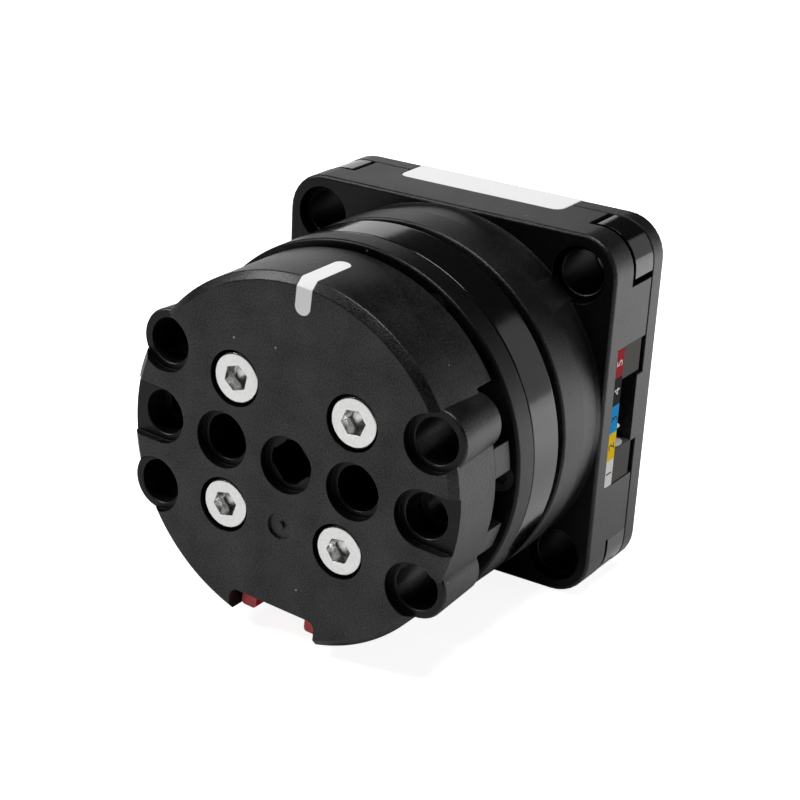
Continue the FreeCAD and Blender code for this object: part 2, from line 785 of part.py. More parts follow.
def carrier_parts():
    """Planet pins and the small screws that close the carrier."""
    spots = spread(3, planet_circle, 180.0)
    pins = [rod(x, z, S.pin_shaft_radius, bearing_front + S.gap, carrier_rear) for x, z in spots]
    finish(group(pins), "planet_pins", turned=True)
    screws = []
    for x, z in spread(3, S.pillar_circle):
        shank = rod(x, z, S.m2_radius * 0.8, carrier_front - 2.4, carrier_rear)
        head = rod(x, z, S.m2_head_radius * 0.9, carrier_rear, carrier_rear + S.m2_head_height / 2)
        screws.append(join(shank, head))
    finish(group(screws), "carrier_screws", turned=True)


# ---------------------------------------------------------------- gears


def involute(angle):
    """Return the involute function of an angle in radians."""
    return math.tan(angle) - angle


def polar_point(radius, angle):
    """Return a point in the XZ plane, the angle counted from X towards Z."""
    return Vec(radius * math.cos(angle), 0, radius * math.sin(angle))


def gear_wire(teeth, internal=False):
    """Return the outline of an involute gear with a tooth, or internally a space, on +X.

    Args:
        teeth: number of teeth as a Size.
        internal: draw the hole of a ring gear, whose spaces are an external gear's teeth.
    """
    count = int(round(teeth.value))
    module = S.gear_module.value
    pitch_radius = module * count / 2
    base_radius = pitch_radius * math.cos(math.radians(S.pressure_angle.value))
    tip = pitch_radius + module * (1.05 if internal else 0.8)
    root = pitch_radius - module * (0.8 if internal else 1.05)
    thinning = S.backlash.value * (-1 if internal else 1) / (2 * pitch_radius)
    half = math.pi / (2 * count) - thinning + involute(math.radians(S.pressure_angle.value))
    foot = max(root, base_radius)

    def flank(radius):
        return half - involute(math.acos(min(1.0, base_radius / radius)))

    edges = []
    step = 2 * math.pi / count
    radii = [foot + (tip - foot) * n / 4 for n in range(5)]
    for n in range(count):
        middle = n * step
        rising = [polar_point(radius, middle - flank(radius)) for radius in radii]
        falling = [polar_point(radius, middle + flank(radius)) for radius in reversed(radii)]
        next_rise = polar_point(root, middle + step - flank(foot))
        root_start = polar_point(root, middle + flank(foot))
        if root < foot - 1e-6:
            edges.append(Part.makeLine(polar_point(root, middle - flank(foot)), rising[0]))
        rise_curve = Part.BSplineCurve()
        rise_curve.interpolate(rising)
        fall_curve = Part.BSplineCurve()
        fall_curve.interpolate(falling)
        edges.append(rise_curve.toShape())
        edges.append(Part.Arc(rising[-1], polar_point(tip, middle), falling[0]).toShape())
        edges.append(fall_curve.toShape())
        if root < foot - 1e-6:
            edges.append(Part.makeLine(falling[-1], root_start))
        edges.append(Part.Arc(root_start, polar_point(root, middle + step / 2), next_rise).toShape())
    return Part.Wire(edges)


def toothed(wire, front, rear):
    """Extrude a gear outline along the output axis between two depths."""
    outline = doc.addObject("Part::Feature", "GearOutline")
    outline.Shape = wire
    outline.Placement.Base = Vec(0, along(front).value, 0)
    bind(outline, "Placement.Base.y", along(front))
    item = doc.addObject("Part::Extrusion", "Teeth")
    item.Base = outline
    item.DirMode = "Custom"
    item.Dir = Vec(0, 1, 0)
    item.Solid = True
    bind(item, "LengthFwd", rear - front)
    return item


def spin(item, angle, x=ZERO, z=ZERO):
    """Place an item at (x, z), turned by an angle counted from X towards Z."""
    item.Placement = FreeCAD.Placement(Vec(), FreeCAD.Rotation(Vec(0, 1, 0), -angle.value))
    bind(item, "Placement.Rotation.Angle", -angle)
    bind(item, "Placement.Base.x", x)
    bind(item, "Placement.Base.z", z)


def planet_angle(number):
    """Return where a planet stands at rest, counted from X towards Z."""
    return 180.0 + 120.0 * number - S.output_angle


def planet_spin(number):
    """Return the turn that puts a planet's tooth into the ring gear's space."""
    place = planet_angle(number)
    return place - place * ring_teeth / S.planet_teeth


def sun_spin():
    """Return the turn that meshes the sun gear with the planets."""
    place = planet_angle(0)
    space = place + (place + 180.0 - planet_spin(0)) * S.planet_teeth / S.sun_teeth
    return space + 180.0 / S.sun_teeth


def gear_train():
    """Ring gear, three planets with their bushes, and the sun gear."""
    housing_gear = cut(
        rod(0, 0, S.ring_radius - S.fit / 5, planet_front - 0.2, planet_rear + 0.2),
        toothed(gear_wire(ring_teeth, internal=True), planet_front - 0.3, planet_rear + 0.3),
    )
    finish(housing_gear, "ring_gear")
    bush_radius = S.pin_shaft_radius + S.fit + S.bush_wall
    for number in range(3):
        place = planet_angle(number)
        x = planet_circle * cosine(place)
        z = planet_circle * sine(place)
        gear = cut(
            toothed(gear_wire(S.planet_teeth), planet_front, planet_rear),
            rod(0, 0, bush_radius, planet_front, planet_rear),
        )
        spin(gear, planet_spin(number), x, z)
        finish(gear, f"planet_gear_{number + 1}")
        bush = ring(bush_radius, S.pin_shaft_radius + S.fit, planet_front - 0.1, planet_rear + 0.1)
        spin(bush, planet_spin(number), x, z)
        finish(bush, f"planet_bush_{number + 1}")
    sun = cut(
        toothed(gear_wire(S.sun_teeth), planet_front - 0.1, carrier_rear + 0.2),
        rod(0, 0, S.shaft_radius, planet_front - 0.1, carrier_rear + 0.2),
    )
    spin(sun, sun_spin())
    finish(sun, "sun_gear")


# ---------------------------------------------------------------- bearings


def ball_bearing(bore, outer, ball, count, fronts, width):
    """Return outer races, inner races, balls and cages for bearings at the given depths."""
    middle_radius = (bore + outer) / 2
    land = ball * 0.45
    parts = {"outer": [], "inner": [], "balls": [], "cage": []}
    for front in fronts:
        rear = front + width
        centre = along(front + width / 2)
        groove = doc.addObject("Part::Torus", "Groove")
        groove.Placement = FreeCAD.Placement(Vec(), FreeCAD.Rotation(Vec(1, 0, 0), -90))
        bind(groove, "Radius1", middle_radius)
        bind(groove, "Radius2", ball + S.fit)
        bind(groove, "Placement.Base.y", centre)
        for name, big, small in (("outer", outer, middle_radius + land), ("inner", middle_radius - land, bore)):
            parts[name].append(cut(ring(big, small, front, rear), groove))
        spheres = []
        for x, z in spread(count, middle_radius):
            sphere = doc.addObject("Part::Sphere", "Ball")
            bind(sphere, "Radius", ball)
            bind(sphere, "Placement.Base.x", x)
            bind(sphere, "Placement.Base.y", centre)
            bind(sphere, "Placement.Base.z", z)
            spheres.append(sphere)
        parts["balls"].extend(spheres)
        band = ring(middle_radius + land * 0.6, middle_radius - land * 0.6, front + width * 0.16, rear - width * 0.16)
        pocket_rear = front + width / 2 + ball + S.fit
        pockets = [rod(x, z, ball + S.fit, front, pocket_rear) for x, z in spread(count, middle_radius)]
        parts["cage"].append(cut(band, *pockets))
    return parts


def bearings():
    """The output bearing and the two rotor bearings."""
    output = ball_bearing(
        S.bearing_bore, S.bearing_outer, S.bearing_ball, int(S.bearing_balls.value), (bearing_front,), S.bearing_width
    )
    finish(group(output["outer"]), "output_bearing_outer_race")
    finish(group(output["inner"]), "output_bearing_inner_race", turned=True)
    finish(group(output["balls"]), "output_bearing_balls")
    finish(group(output["cage"]), "output_bearing_cage")
    tower_front = S.stack_front - 0.2
    rotor = ball_bearing(
        S.shaft_radius,
        S.rotor_bearing_outer,
        S.rotor_bearing_ball,
        int(S.rotor_bearing_balls.value),
        (tower_front, bracket_rear - S.rotor_bearing_width),
        S.rotor_bearing_width,
    )
    finish(group(rotor["outer"]), "rotor_bearing_outer_races")
    finish(group(rotor["inner"]), "rotor_bearing_inner_races")
    finish(group(rotor["balls"]), "rotor_bearing_balls")
    finish(group(rotor["cage"]), "rotor_bearing_cages")


# ---------------------------------------------------------------- housings


def gearbox_cover():
    """The stationary front ring that seats the output bearing."""
    body = new_body("GearboxCover")
    break_off = S.edge_break
    recess = S.cover_front + S.cover_recess
    turn(
        body,
        (
            (S.cover_recess_radius, S.cover_front),
            (S.body_radius - break_off, S.cover_front),
            (S.body_radius, S.cover_front + break_off),
            (S.body_radius, cover_rim_rear),
            (S.ring_radius - S.fit, cover_rim_rear),
            (S.ring_radius - S.fit, bearing_rear),
            (S.bearing_outer, bearing_rear),
            (S.bearing_outer, bearing_front),
            (S.cover_lip_radius, bearing_front),
            (S.cover_lip_radius, recess),
            (S.cover_recess_radius, recess),
        ),
    )
    head = well(
        body, S.cover_front, S.cover_front + S.m2_head_height * 1.2, circle(S.stack_circle, 0, S.m2_head_radius + S.gap)
    )
    shank = well(body, S.cover_front, cover_rim_rear, circle(S.stack_circle, 0, S.m2_radius + S.fit))
    polar(body, [head, shank], S.stack_count)
    return finish(body, "gearbox_cover")


def gear_housing():
    """The glossy ring around the ring gear, with a spigot into the base housing."""
    body = new_body("GearHousing")
    front = cover_rim_rear + S.seam
    break_off = S.edge_break
    turn(
        body,
        (
            (S.ring_radius, front),
            (S.body_radius - break_off, front),
            (S.body_radius, front + break_off),
            (S.body_radius, S.gear_housing_rear - break_off),
            (S.body_radius - break_off, S.gear_housing_rear),
            (S.spigot_radius, S.gear_housing_rear),
            (S.spigot_radius, spigot_rear),
            (S.ring_radius, spigot_rear),
        ),
    )
    shank = well(body, front, spigot_rear, circle(S.stack_circle, 0, S.m2_radius + S.fit))
    polar(body, [shank], S.stack_count)
    return finish(body, "gear_housing")


def stack_screws():
    """The long screws that clamp cover, gear housing and base housing."""
    screws = []
    seat = S.cover_front + S.m2_head_height * 1.2
    for x, z in spread(int(S.stack_count.value), S.stack_circle):
        body = new_body("StackScrew")
        slab(body, seat - S.m2_head_height, seat, circle(x, z, S.m2_head_radius))
        slab(body, seat, spigot_rear + S.stack_grip, circle(x, z, S.m2_radius))
        well(body, seat - S.m2_head_height, seat - S.m2_head_height / 2, hexagon(x, z, S.m2_head_radius))
        screws.append(body)
    return finish(group(screws), "housing_screws")


def base_housing():
    """The main housing: textured ring, collar and square flange with corner ears."""
    body = new_body("BaseHousing")
    collar = S.body_radius - S.collar_step
    slab(body, S.flange_front, S.cover_line, square(S.body_radius))
    soften(body, "Fillet", S.corner_radius, is_axial)
    soften(body, "Fillet", S.edge_round, lambda edge: lies_at(edge, S.flange_front))
    break_off = S.edge_break
    rear = S.flange_front + S.edge_round * 2
    turn(
        body,
        (
            (0, base_front),
            (S.body_radius - break_off, base_front),
            (S.body_radius, base_front + break_off),
            (S.body_radius, S.collar_front),
            (collar, S.collar_front),
            (collar, rear),
            (0, rear),
        ),
    )
    well(body, base_front, spigot_rear, circle(0, 0, S.spigot_radius + S.fit))
    well(body, base_front, S.cover_line, circle(0, 0, S.motor_bore))
    well(body, post_front, S.cover_line, square(cavity_half))
    ears = four(grid_half, grid_half)
    pocket_front = S.collar_front - S.corner_pocket_rise
    mouth_rear = S.flange_front + S.pin_mouth_depth
    for x, z in ears:
        well(body, pocket_front, mouth_rear, circle(x, z, S.pin_mouth_radius))
        well(body, S.flange_front, S.ear_rear, circle(x, z, S.pin_radius))
        well(body, S.ear_rear, S.cover_line, circle(x, z, S.corner_radius + S.post_gap - S.post_inset))
    side = S.body_radius
    well(
        body,
        S.socket_front,
        S.cover_line,
        rectangle(S.bezel_inner - S.gap, side * 1.1, -S.socket_half, S.socket_half),
    )
    slot = S.socket_open_half + S.gap
    well(body, S.socket_front, S.cover_line, rectangle(S.header_inner - S.gap, side, -slot, slot))
    well(
        body,
        S.label_front,
        S.socket_front,
        rectangle(side - S.label_thickness, side * 1.1, -S.label_half, S.label_half),
    )
    well(body, S.strip_front, S.cover_line, rectangle(-S.strip_half, S.strip_half, cavity_half, side * 1.1))
    soften(body, "Fillet", S.strip_round, strip_corner)
    hole = well(body, spigot_rear, spigot_rear + S.stack_grip + 0.3, circle(S.stack_circle, 0, S.m2_radius))
    polar(body, [hole], S.stack_count)
    grips = four(S.chassis_x, S.chassis_z)
    well(body, post_front - S.chassis_grip - 0.3, post_front, *(circle(x, z, S.m2_radius) for x, z in grips))
    return finish(body, "base_housing")


def strip_corner(edge):
    """Pick the two front corners of the light strip's slot."""
    box = edge.BoundBox
    upright = box.XLength < 1e-3 and box.YLength < 1e-3 and box.ZMax > S.body_radius.value - 1e-3
    level = abs(box.YMin - along(S.strip_front).value) < 1e-3
    return upright and level and abs(abs(box.XMin) - S.strip_half.value) < 1e-3


def motor_bracket():
    """The plate behind the motor, with its bearing tower and four corner posts."""
    body = new_body("MotorBracket")
    half = cavity_half - S.gap
    slab(body, post_front, bracket_rear, square(half))
    tower_front = S.stack_front - 0.2
    slab(body, tower_front, bracket_rear, circle(0, 0, S.tower_radius))
    post = S.corner_radius - S.post_inset
    for x, z in four(grid_half, grid_half):
        slab(body, post_front, S.cover_line - S.seam, circle(x, z, post))
    stand_offs = four(S.chassis_x, S.chassis_z) + four(S.cover_screw_x, S.cover_screw_z)
    for x, z in stand_offs:
        slab(body, bracket_rear, S.board_front, circle(x, z, S.standoff_radius))
    inner = S.header_inner - S.gap * 2
    reach = S.socket_half + S.gap
    well(body, post_front, S.board_front, rectangle(inner, S.body_radius * 1.1, -reach, reach))
    well(body, tower_front, bracket_rear, circle(0, 0, S.rotor_bearing_outer - 0.4))
    for front in (tower_front, bracket_rear - S.rotor_bearing_width):
        well(body, front, front + S.rotor_bearing_width, circle(0, 0, S.rotor_bearing_outer))
    well(body, post_front, S.cover_line, *(circle(x, z, S.pin_radius) for x, z in four(grid_half, grid_half)))
    well(body, post_front, S.board_front, *(circle(x, z, S.m2_radius + S.fit) for x, z in four(S.chassis_x, S.chassis_z)))
    grips = four(S.cover_screw_x, S.cover_screw_z)
    well(body, post_front, S.board_front, *(circle(x, z, S.m2_radius) for x, z in grips))
    return finish(body, "motor_bracket")


def rear_cover():
    """The rear cover with its tongue beside the connector and the light strip's gap."""
    body = new_body("RearCover")
    rear = S.overall_length
    slab(body, S.cover_line + S.seam, rear, square(S.body_radius))
    soften(body, "Fillet", S.corner_radius, is_axial)
    soften(body, "Chamfer", S.cover_edge, lambda edge: lies_at(edge, rear))
    well(body, S.cover_line, cavity_rear, square(cavity_half))
    for x, z in four(grid_half, grid_half):
        slab(body, S.cover_line + S.seam, cavity_rear, circle(x, z, S.corner_radius))
    for x, z in four(S.cover_screw_x, S.cover_screw_z):
        slab(body, board_rear + S.fit, cavity_rear, circle(x, z, S.standoff_radius))
    tongue = S.socket_open_half - S.gap
    slab(
        body,
        S.socket_rear,
        cavity_rear,
        rectangle(S.bezel_inner + S.bezel_plate + S.gap, S.body_radius, -tongue, tongue),
    )
    well(body, S.cover_line, rear, rectangle(-S.strip_half, S.strip_half, cavity_half, S.body_radius * 1.1))
    pins = four(grid_half, grid_half)
    well(body, S.cover_line, rear, *(circle(x, z, S.pin_radius) for x, z in pins))
    well(body, rear - S.pin_mouth_depth, rear, *(circle(x, z, S.pin_mouth_radius) for x, z in pins))
    screws = four(S.cover_screw_x, S.cover_screw_z)
    well(body, S.cover_line, rear, *(circle(x, z, S.m2_radius + S.fit) for x, z in screws))
    well(body, rear - S.m2_head_height, rear, *(circle(x, z, S.m2_head_radius + S.fit) for x, z in screws))
    return finish(body, "rear_cover")


def rear_screws():
    """Bracket screws under the cover and cover screws in the rear face."""
    for label, spots, seat, tip in (
        ("bracket_screws", four(S.chassis_x, S.chassis_z), board_rear, post_front - S.chassis_grip),
        (
            "cover_screws",
            four(S.cover_screw_x, S.cover_screw_z),
            S.overall_length - S.m2_head_height,
            post_front + S.gap,
        ),
    ):
        screws = []
        for x, z in spots:
            body = new_body("RearScrew")
            slab(body, tip, seat, circle(x, z, S.m2_radius))
            slab(body, seat, seat + S.m2_head_height * 0.9, circle(x, z, S.m2_head_radius))
            top = seat + S.m2_head_height * 0.9
            well(body, seat + S.m2_head_height * 0.4, top, hexagon(x, z, S.m2_head_radius))
            screws.append(body)
        finish(group(screws), label)


# ---------------------------------------------------------------- motor


def rotor():
    """Shaft, bell, magnets and encoder magnet."""
    shaft_front = bearing_rear + 0.1
    shaft_rear = bracket_rear + S.gap
    finish(rod(0, 0, S.shaft_radius, shaft_front, shaft_rear), "rotor_shaft")
    body = new_body("RotorBell")
    web_rear = S.bell_front + S.bell_wall
    boss = S.shaft_radius * 2
    turn(
        body,
        (
            (S.shaft_radius, S.bell_front),
            (S.bell_radius - S.edge_break, S.bell_front),
            (S.bell_radius, S.bell_front + S.edge_break),
            (S.bell_radius, S.bell_rear),
            (S.bell_radius - S.bell_wall, S.bell_rear),
            (S.bell_radius - S.bell_wall, web_rear),
            (boss, web_rear),
            (boss, web_rear + S.bell_wall),
            (S.shaft_radius, web_rear + S.bell_wall),
        ),
    )
    hole = well(body, S.bell_front, web_rear, circle(S.bell_radius * 0.6, 0, S.bell_hole_radius))
    polar(body, [hole], Size.of(6))
    finish(body, "rotor_bell")
    magnets = new_body("RotorMagnets")
    front = S.stack_front - 0.5
    rear = stack_rear + 0.5
    slab(magnets, front, rear, circle(0, 0, magnet_outer), circle(0, 0, magnet_inner))
    slot = well(
        magnets,
        front,
        rear,
        rectangle(magnet_inner - 0.5, magnet_outer + 0.5, -S.magnet_slot, S.magnet_slot),
    )
    polar(magnets, [slot], S.magnet_count)
    finish(magnets, "rotor_magnets")
    finish(
        rod(0, 0, S.magnet_disc_radius, shaft_rear, shaft_rear + S.magnet_disc_thickness * 0.5),
        "encoder_magnet",
    )


def stator():
    """Laminated core with its teeth, and one winding on each tooth."""
    core = new_body("StatorCore")
    front = S.stack_front
    slab(core, front, stack_rear, circle(0, 0, S.stator_hub), circle(0, 0, S.tower_radius))
    tip_inner = stator_radius - 1.0
    tip_half = S.tooth_half * 2.9
    arm = slab(
        core,
        front,
        stack_rear,
        polygon(
            (
                (S.stator_hub - 0.5, -S.tooth_half),
                (tip_inner - 0.5, -S.tooth_half),
                (tip_inner, -tip_half),
                (stator_radius + 0.6, -tip_half),
                (stator_radius + 0.6, tip_half),
                (tip_inner, tip_half),
                (tip_inner - 0.5, S.tooth_half),
                (S.stator_hub - 0.5, S.tooth_half),
            )
        ),
    )
    polar(core, [arm], S.slot_count)
    well(core, front, stack_rear, circle(0, 0, stator_radius), circle(0, 0, stator_radius + 3))
    finish(core, "stator_core")
    coils = new_body("StatorWindings")
    item = new_sketch(coils, "YZ_Plane", S.coil_inner)
    inner = S.tooth_half + S.fit
    outer = inner + S.coil_wall
    slack = S.gap
    for half, back in ((outer, slack + S.coil_wall), (inner, slack)):
        rectangle(along(front - back), along(stack_rear + back), -half, half)(item)
    coil = coils.newObject("PartDesign::Pad", "Pad")
    coil.Profile = item
    bind(coil, "Length", S.coil_outer - S.coil_inner)
    polar(coils, [coil], S.slot_count)
    finish(coils, "stator_windings")


# ---------------------------------------------------------------- board, connector, light


def electronics():
    """Control board, encoder chip, status lights, connector and its contacts."""
    body = new_body("ControlBoard")
    half = cavity_half - S.gap * 2
    slab(body, S.board_front, board_rear, square(half))
    clear = S.corner_radius + S.gap * 2
    for x, z in four(grid_half, grid_half):
        well(body, S.board_front, board_rear, circle(x, z, clear))
    holes = four(S.chassis_x, S.chassis_z) + four(S.cover_screw_x, S.cover_screw_z)
    well(body, S.board_front, board_rear, *(circle(x, z, S.m2_radius + S.gap) for x, z in holes))
    notch = S.socket_open_half + S.gap
    plate = S.bezel_inner + S.bezel_plate
    well(body, S.board_front, board_rear, rectangle(plate - S.gap, S.body_radius, -notch, notch))
    finish(body, "control_board")
    finish(
        block(-S.chip_half, S.chip_half, S.board_front - S.chip_height, S.board_front, -S.chip_half, S.chip_half),
        "encoder_chip",
    )
    lights = []
    for x in (-S.strip_half / 2, ZERO, S.strip_half / 2):
        height = cavity_half - S.gap * 3
        lights.append(block(x - 0.8, x + 0.8, board_rear, board_rear + 0.7, height - 1.6, height))
    finish(group(lights), "status_lights")
    wall = S.header_wall
    inner = S.header_inner
    outer = S.bezel_inner - S.gap
    deep = S.socket_front + S.gap
    reach = S.socket_open_half
    header = cut(
        block(inner, outer, deep, S.board_front, -reach, reach),
        block(inner + wall * 2, outer + wall, deep + wall, S.board_front - wall, -reach + wall, reach - wall),
    )
    finish(header, "connector_header")
    count = int(S.contact_count.value)
    size = S.contact_size
    middle = (deep + S.board_front) / 2
    contacts = []
    for number in range(count):
        z = S.contact_pitch * (number - (count - 1) / 2)
        contacts.append(
            block(
                inner + wall * 2,
                outer - wall,
                middle - size / 2,
                middle + size / 2,
                z - size / 2,
                z + size / 2,
            )
        )
    finish(group(contacts), "connector_contacts")


def connector_side():
    """The grey connector surround and the wiring label beside it."""
    inner = S.bezel_inner
    outer = S.body_radius - S.fit
    front = S.socket_front + S.fit
    reach = S.socket_half - S.fit
    opening = S.socket_open_half
    plate = inner + S.bezel_plate
    surround = cut(
        block(inner, outer, front, S.bezel_rear, -reach, reach),
        block(plate, outer + 1, front, S.bezel_rear, -opening, opening),
        block(inner, plate, front, S.bezel_rear - 0.5, S.header_wall - opening, opening - S.header_wall),
    )
    finish(surround, "connector_surround")
    side = S.body_radius
    label = block(
        side - S.label_thickness, side, S.label_front, S.socket_front, -S.label_half, S.label_half
    )
    finish(label, "wiring_label")


def light_strip():
    """The white diffuser let into the top, from the housing to the rear face."""
    body = new_body("LightStrip")
    slack = S.fit
    half = S.strip_half - slack
    item = new_sketch(body, "XY_Plane", cavity_half + S.gap)
    front = along(S.strip_front + slack)
    rectangle(-half, half, front, ZERO)(item)
    pad = body.newObject("PartDesign::Pad", "Pad")
    pad.Profile = item
    bind(pad, "Length", S.wall - S.gap)
    soften(body, "Fillet", S.strip_round - slack, light_corner)
    return finish(body, "light_strip")


def light_corner(edge):
    """Pick the two front corners of the light strip."""
    box = edge.BoundBox
    upright = box.XLength < 1e-3 and box.YLength < 1e-3
    return upright and box.YMax < along(S.cover_line).value


# ---------------------------------------------------------------- build and export


def check(items):
    """Stop if a feature failed or a shape is not valid."""
    for item in doc.Objects:
        if "Invalid" in item.State or "Error" in item.State:
            raise RuntimeError(f"{item.Name} ({item.Label}) failed: {item.State}")
    for item in items:
        if item.Shape.isNull() or not item.Shape.isValid():
            raise RuntimeError(f"{item.Label} has no valid shape")
        if not item.Shape.Solids:
            raise RuntimeError(f"{item.Label} holds no solid")


def main():
    """Build every sub-part, check it and write its STEP file."""
    output_disc()
    disc_screws()
    release_latch()
    latch_spring()
    output_hub()
    carrier_plate()
    carrier_parts()
    gear_train()
    bearings()
    gearbox_cover()
    gear_housing()
    stack_screws()
    base_housing()
    motor_bracket()
    rear_cover()
    rear_screws()
    rotor()
    stator()
    electronics()
    connector_side()
    light_strip()
    doc.recompute()
    check(NODES)
    os.makedirs("parts", exist_ok=True)
    for item in NODES:
        item.Shape.exportStep(f"parts/{item.Label}.step")


main()
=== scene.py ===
"""Robot joint actuator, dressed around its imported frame.

A square flanged base carries a motor and a planetary gearbox, which turn the output disc in
front. Every class below builds one sub-assembly. Sizes are in millimetres and depths run along
the output axis from the front of the disc to the rear face, as they do in the part's source.
"""

import logging
import math
from dataclasses import dataclass
from enum import Enum
from functools import cache
from typing import Callable, Iterable, Sequence

import bmesh
import bpy
from mathutils import Matrix, Vector


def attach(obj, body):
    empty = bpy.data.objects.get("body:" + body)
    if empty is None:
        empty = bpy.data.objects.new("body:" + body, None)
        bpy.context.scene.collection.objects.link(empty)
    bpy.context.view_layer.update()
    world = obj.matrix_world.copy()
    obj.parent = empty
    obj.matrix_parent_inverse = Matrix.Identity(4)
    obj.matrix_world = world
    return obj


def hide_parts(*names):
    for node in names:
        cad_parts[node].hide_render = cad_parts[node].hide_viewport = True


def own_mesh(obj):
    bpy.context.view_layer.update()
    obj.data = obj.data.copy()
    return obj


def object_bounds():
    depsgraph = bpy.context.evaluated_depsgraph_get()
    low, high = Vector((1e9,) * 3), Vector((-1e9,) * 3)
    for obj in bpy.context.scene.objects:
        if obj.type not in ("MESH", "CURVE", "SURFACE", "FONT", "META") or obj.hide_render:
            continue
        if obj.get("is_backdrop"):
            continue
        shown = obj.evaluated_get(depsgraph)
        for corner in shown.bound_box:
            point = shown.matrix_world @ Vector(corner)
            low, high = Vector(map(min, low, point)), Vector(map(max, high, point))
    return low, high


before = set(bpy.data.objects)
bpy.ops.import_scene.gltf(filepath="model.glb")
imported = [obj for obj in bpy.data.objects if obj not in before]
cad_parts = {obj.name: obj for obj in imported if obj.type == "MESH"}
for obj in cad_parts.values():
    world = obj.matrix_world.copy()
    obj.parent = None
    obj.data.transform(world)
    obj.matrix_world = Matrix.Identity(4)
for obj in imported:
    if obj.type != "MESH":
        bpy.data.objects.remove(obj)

LOG = logging.getLogger("joint_actuator")

Point = tuple[float, float]
Corner = tuple[float, float, float]
Colour = tuple[float, float, float]
Socket = bpy.types.NodeSocket
Paint = Callable[["Nodes", Socket], Socket]
FaceTest = Callable[[Vector, Vector], bool]

MM = 0.001
LENGTH = 40.0
REST_TURN = 4.5
PITCH = 8.0
GRID = 2 * PITCH
PIN = 2.4
MOUTH = 3.1
SCREW_CIRCLE = 10.0
SCREW_SIDE = SCREW_CIRCLE / math.sqrt(2)
BODY_RADIUS = 20.35
BODY_CORNER = 4.35
CAVITY = 18.3
OUTSIDE = 24.0
COVER_SCREW = (15.2, 10.4)
PAD = 1.9
PAD_BORE = 1.05
STRIP_HALF = 10.2
SHARP = 32.0
FINE = 96
ROUND = 256


class Body(Enum):
    """The rigid bodies that pieces ride on."""

    HOUSING = "housing"
    OUTPUT = "output"
    LATCH = "latch"


class Edit(Enum):
    """How one solid changes another."""

    ADD = "UNION"
    CUT = "DIFFERENCE"
    KEEP = "INTERSECT"


# --------------------------------------------------------------------------- mesh tools


def spot(x: float, depth: float, z: float) -> Vector:
    """Return a point of the row frame, in metres, from millimetres and a depth."""
    return Vector((x * MM, (depth - LENGTH) * MM, z * MM))


def four(x: float, z: float) -> list[Point]:
    """Return the four mirror images of a point."""
    return [(x, z), (-x, z), (x, -z), (-x, -z)]


def rounded(corners: Sequence[Corner], steps: int = 8) -> list[Point]:
    """Return a closed outline whose corners are rounded.

    Args:
        corners: x, y and corner radius of each corner, in order.
        steps: straight pieces in each rounded corner.

    Returns:
        The outline's points in order.
    """
    points: list[Point] = []
    count = len(corners)
    for index, (x, y, radius) in enumerate(corners):
        here = Vector((x, y))
        if radius <= 0.0:
            points.append((x, y))
            continue
        before = (Vector(corners[index - 1][:2]) - here).normalized()
        after = (Vector(corners[(index + 1) % count][:2]) - here).normalized()
        half = math.acos(max(-1.0, min(1.0, before.dot(after)))) / 2
        centre = here + (before + after).normalized() * (radius / math.sin(half))
        start = here + before * (radius / math.tan(half)) - centre
        end = here + after * (radius / math.tan(half)) - centre
        sweep = start.angle_signed(end)
        for step in range(steps + 1):
            turned = start.copy()
            turned.rotate(Matrix.Rotation(-sweep * step / steps, 2))
            points.append(tuple(centre + turned))
    return points


def ring_of(x: float, y: float, radius: float, count: int = 64) -> list[Point]:
    """Return the points of a circle."""
    step = 2 * math.pi / count
    return [(x + radius * math.cos(step * n), y + radius * math.sin(step * n)) for n in range(count)]


def square_outline(half: float, radius: float) -> list[Point]:
    """Return the outline of a rounded square about the axis."""
    return rounded([(-half, -half, radius), (half, -half, radius), (half, half, radius), (-half, half, radius)])


def body_loop(inset: float, depth: float) -> list[Vector]:
    """Return the square body's outline, drawn in by an inset, at a depth."""
    return [spot(x, depth, z) for x, z in square_outline(BODY_RADIUS - inset, BODY_CORNER - inset)]


def linked(name: str, data: bpy.types.ID) -> bpy.types.Object:
    """Return a new object that is linked to the scene."""
    item = bpy.data.objects.new(name, data)
    bpy.context.scene.collection.objects.link(item)
    return item


def final_mesh(item: bpy.types.Object) -> bpy.types.Mesh:
    """Return an object's mesh with its modifiers applied."""
    graph = bpy.context.evaluated_depsgraph_get()
    return bpy.data.meshes.new_from_object(item.evaluated_get(graph))


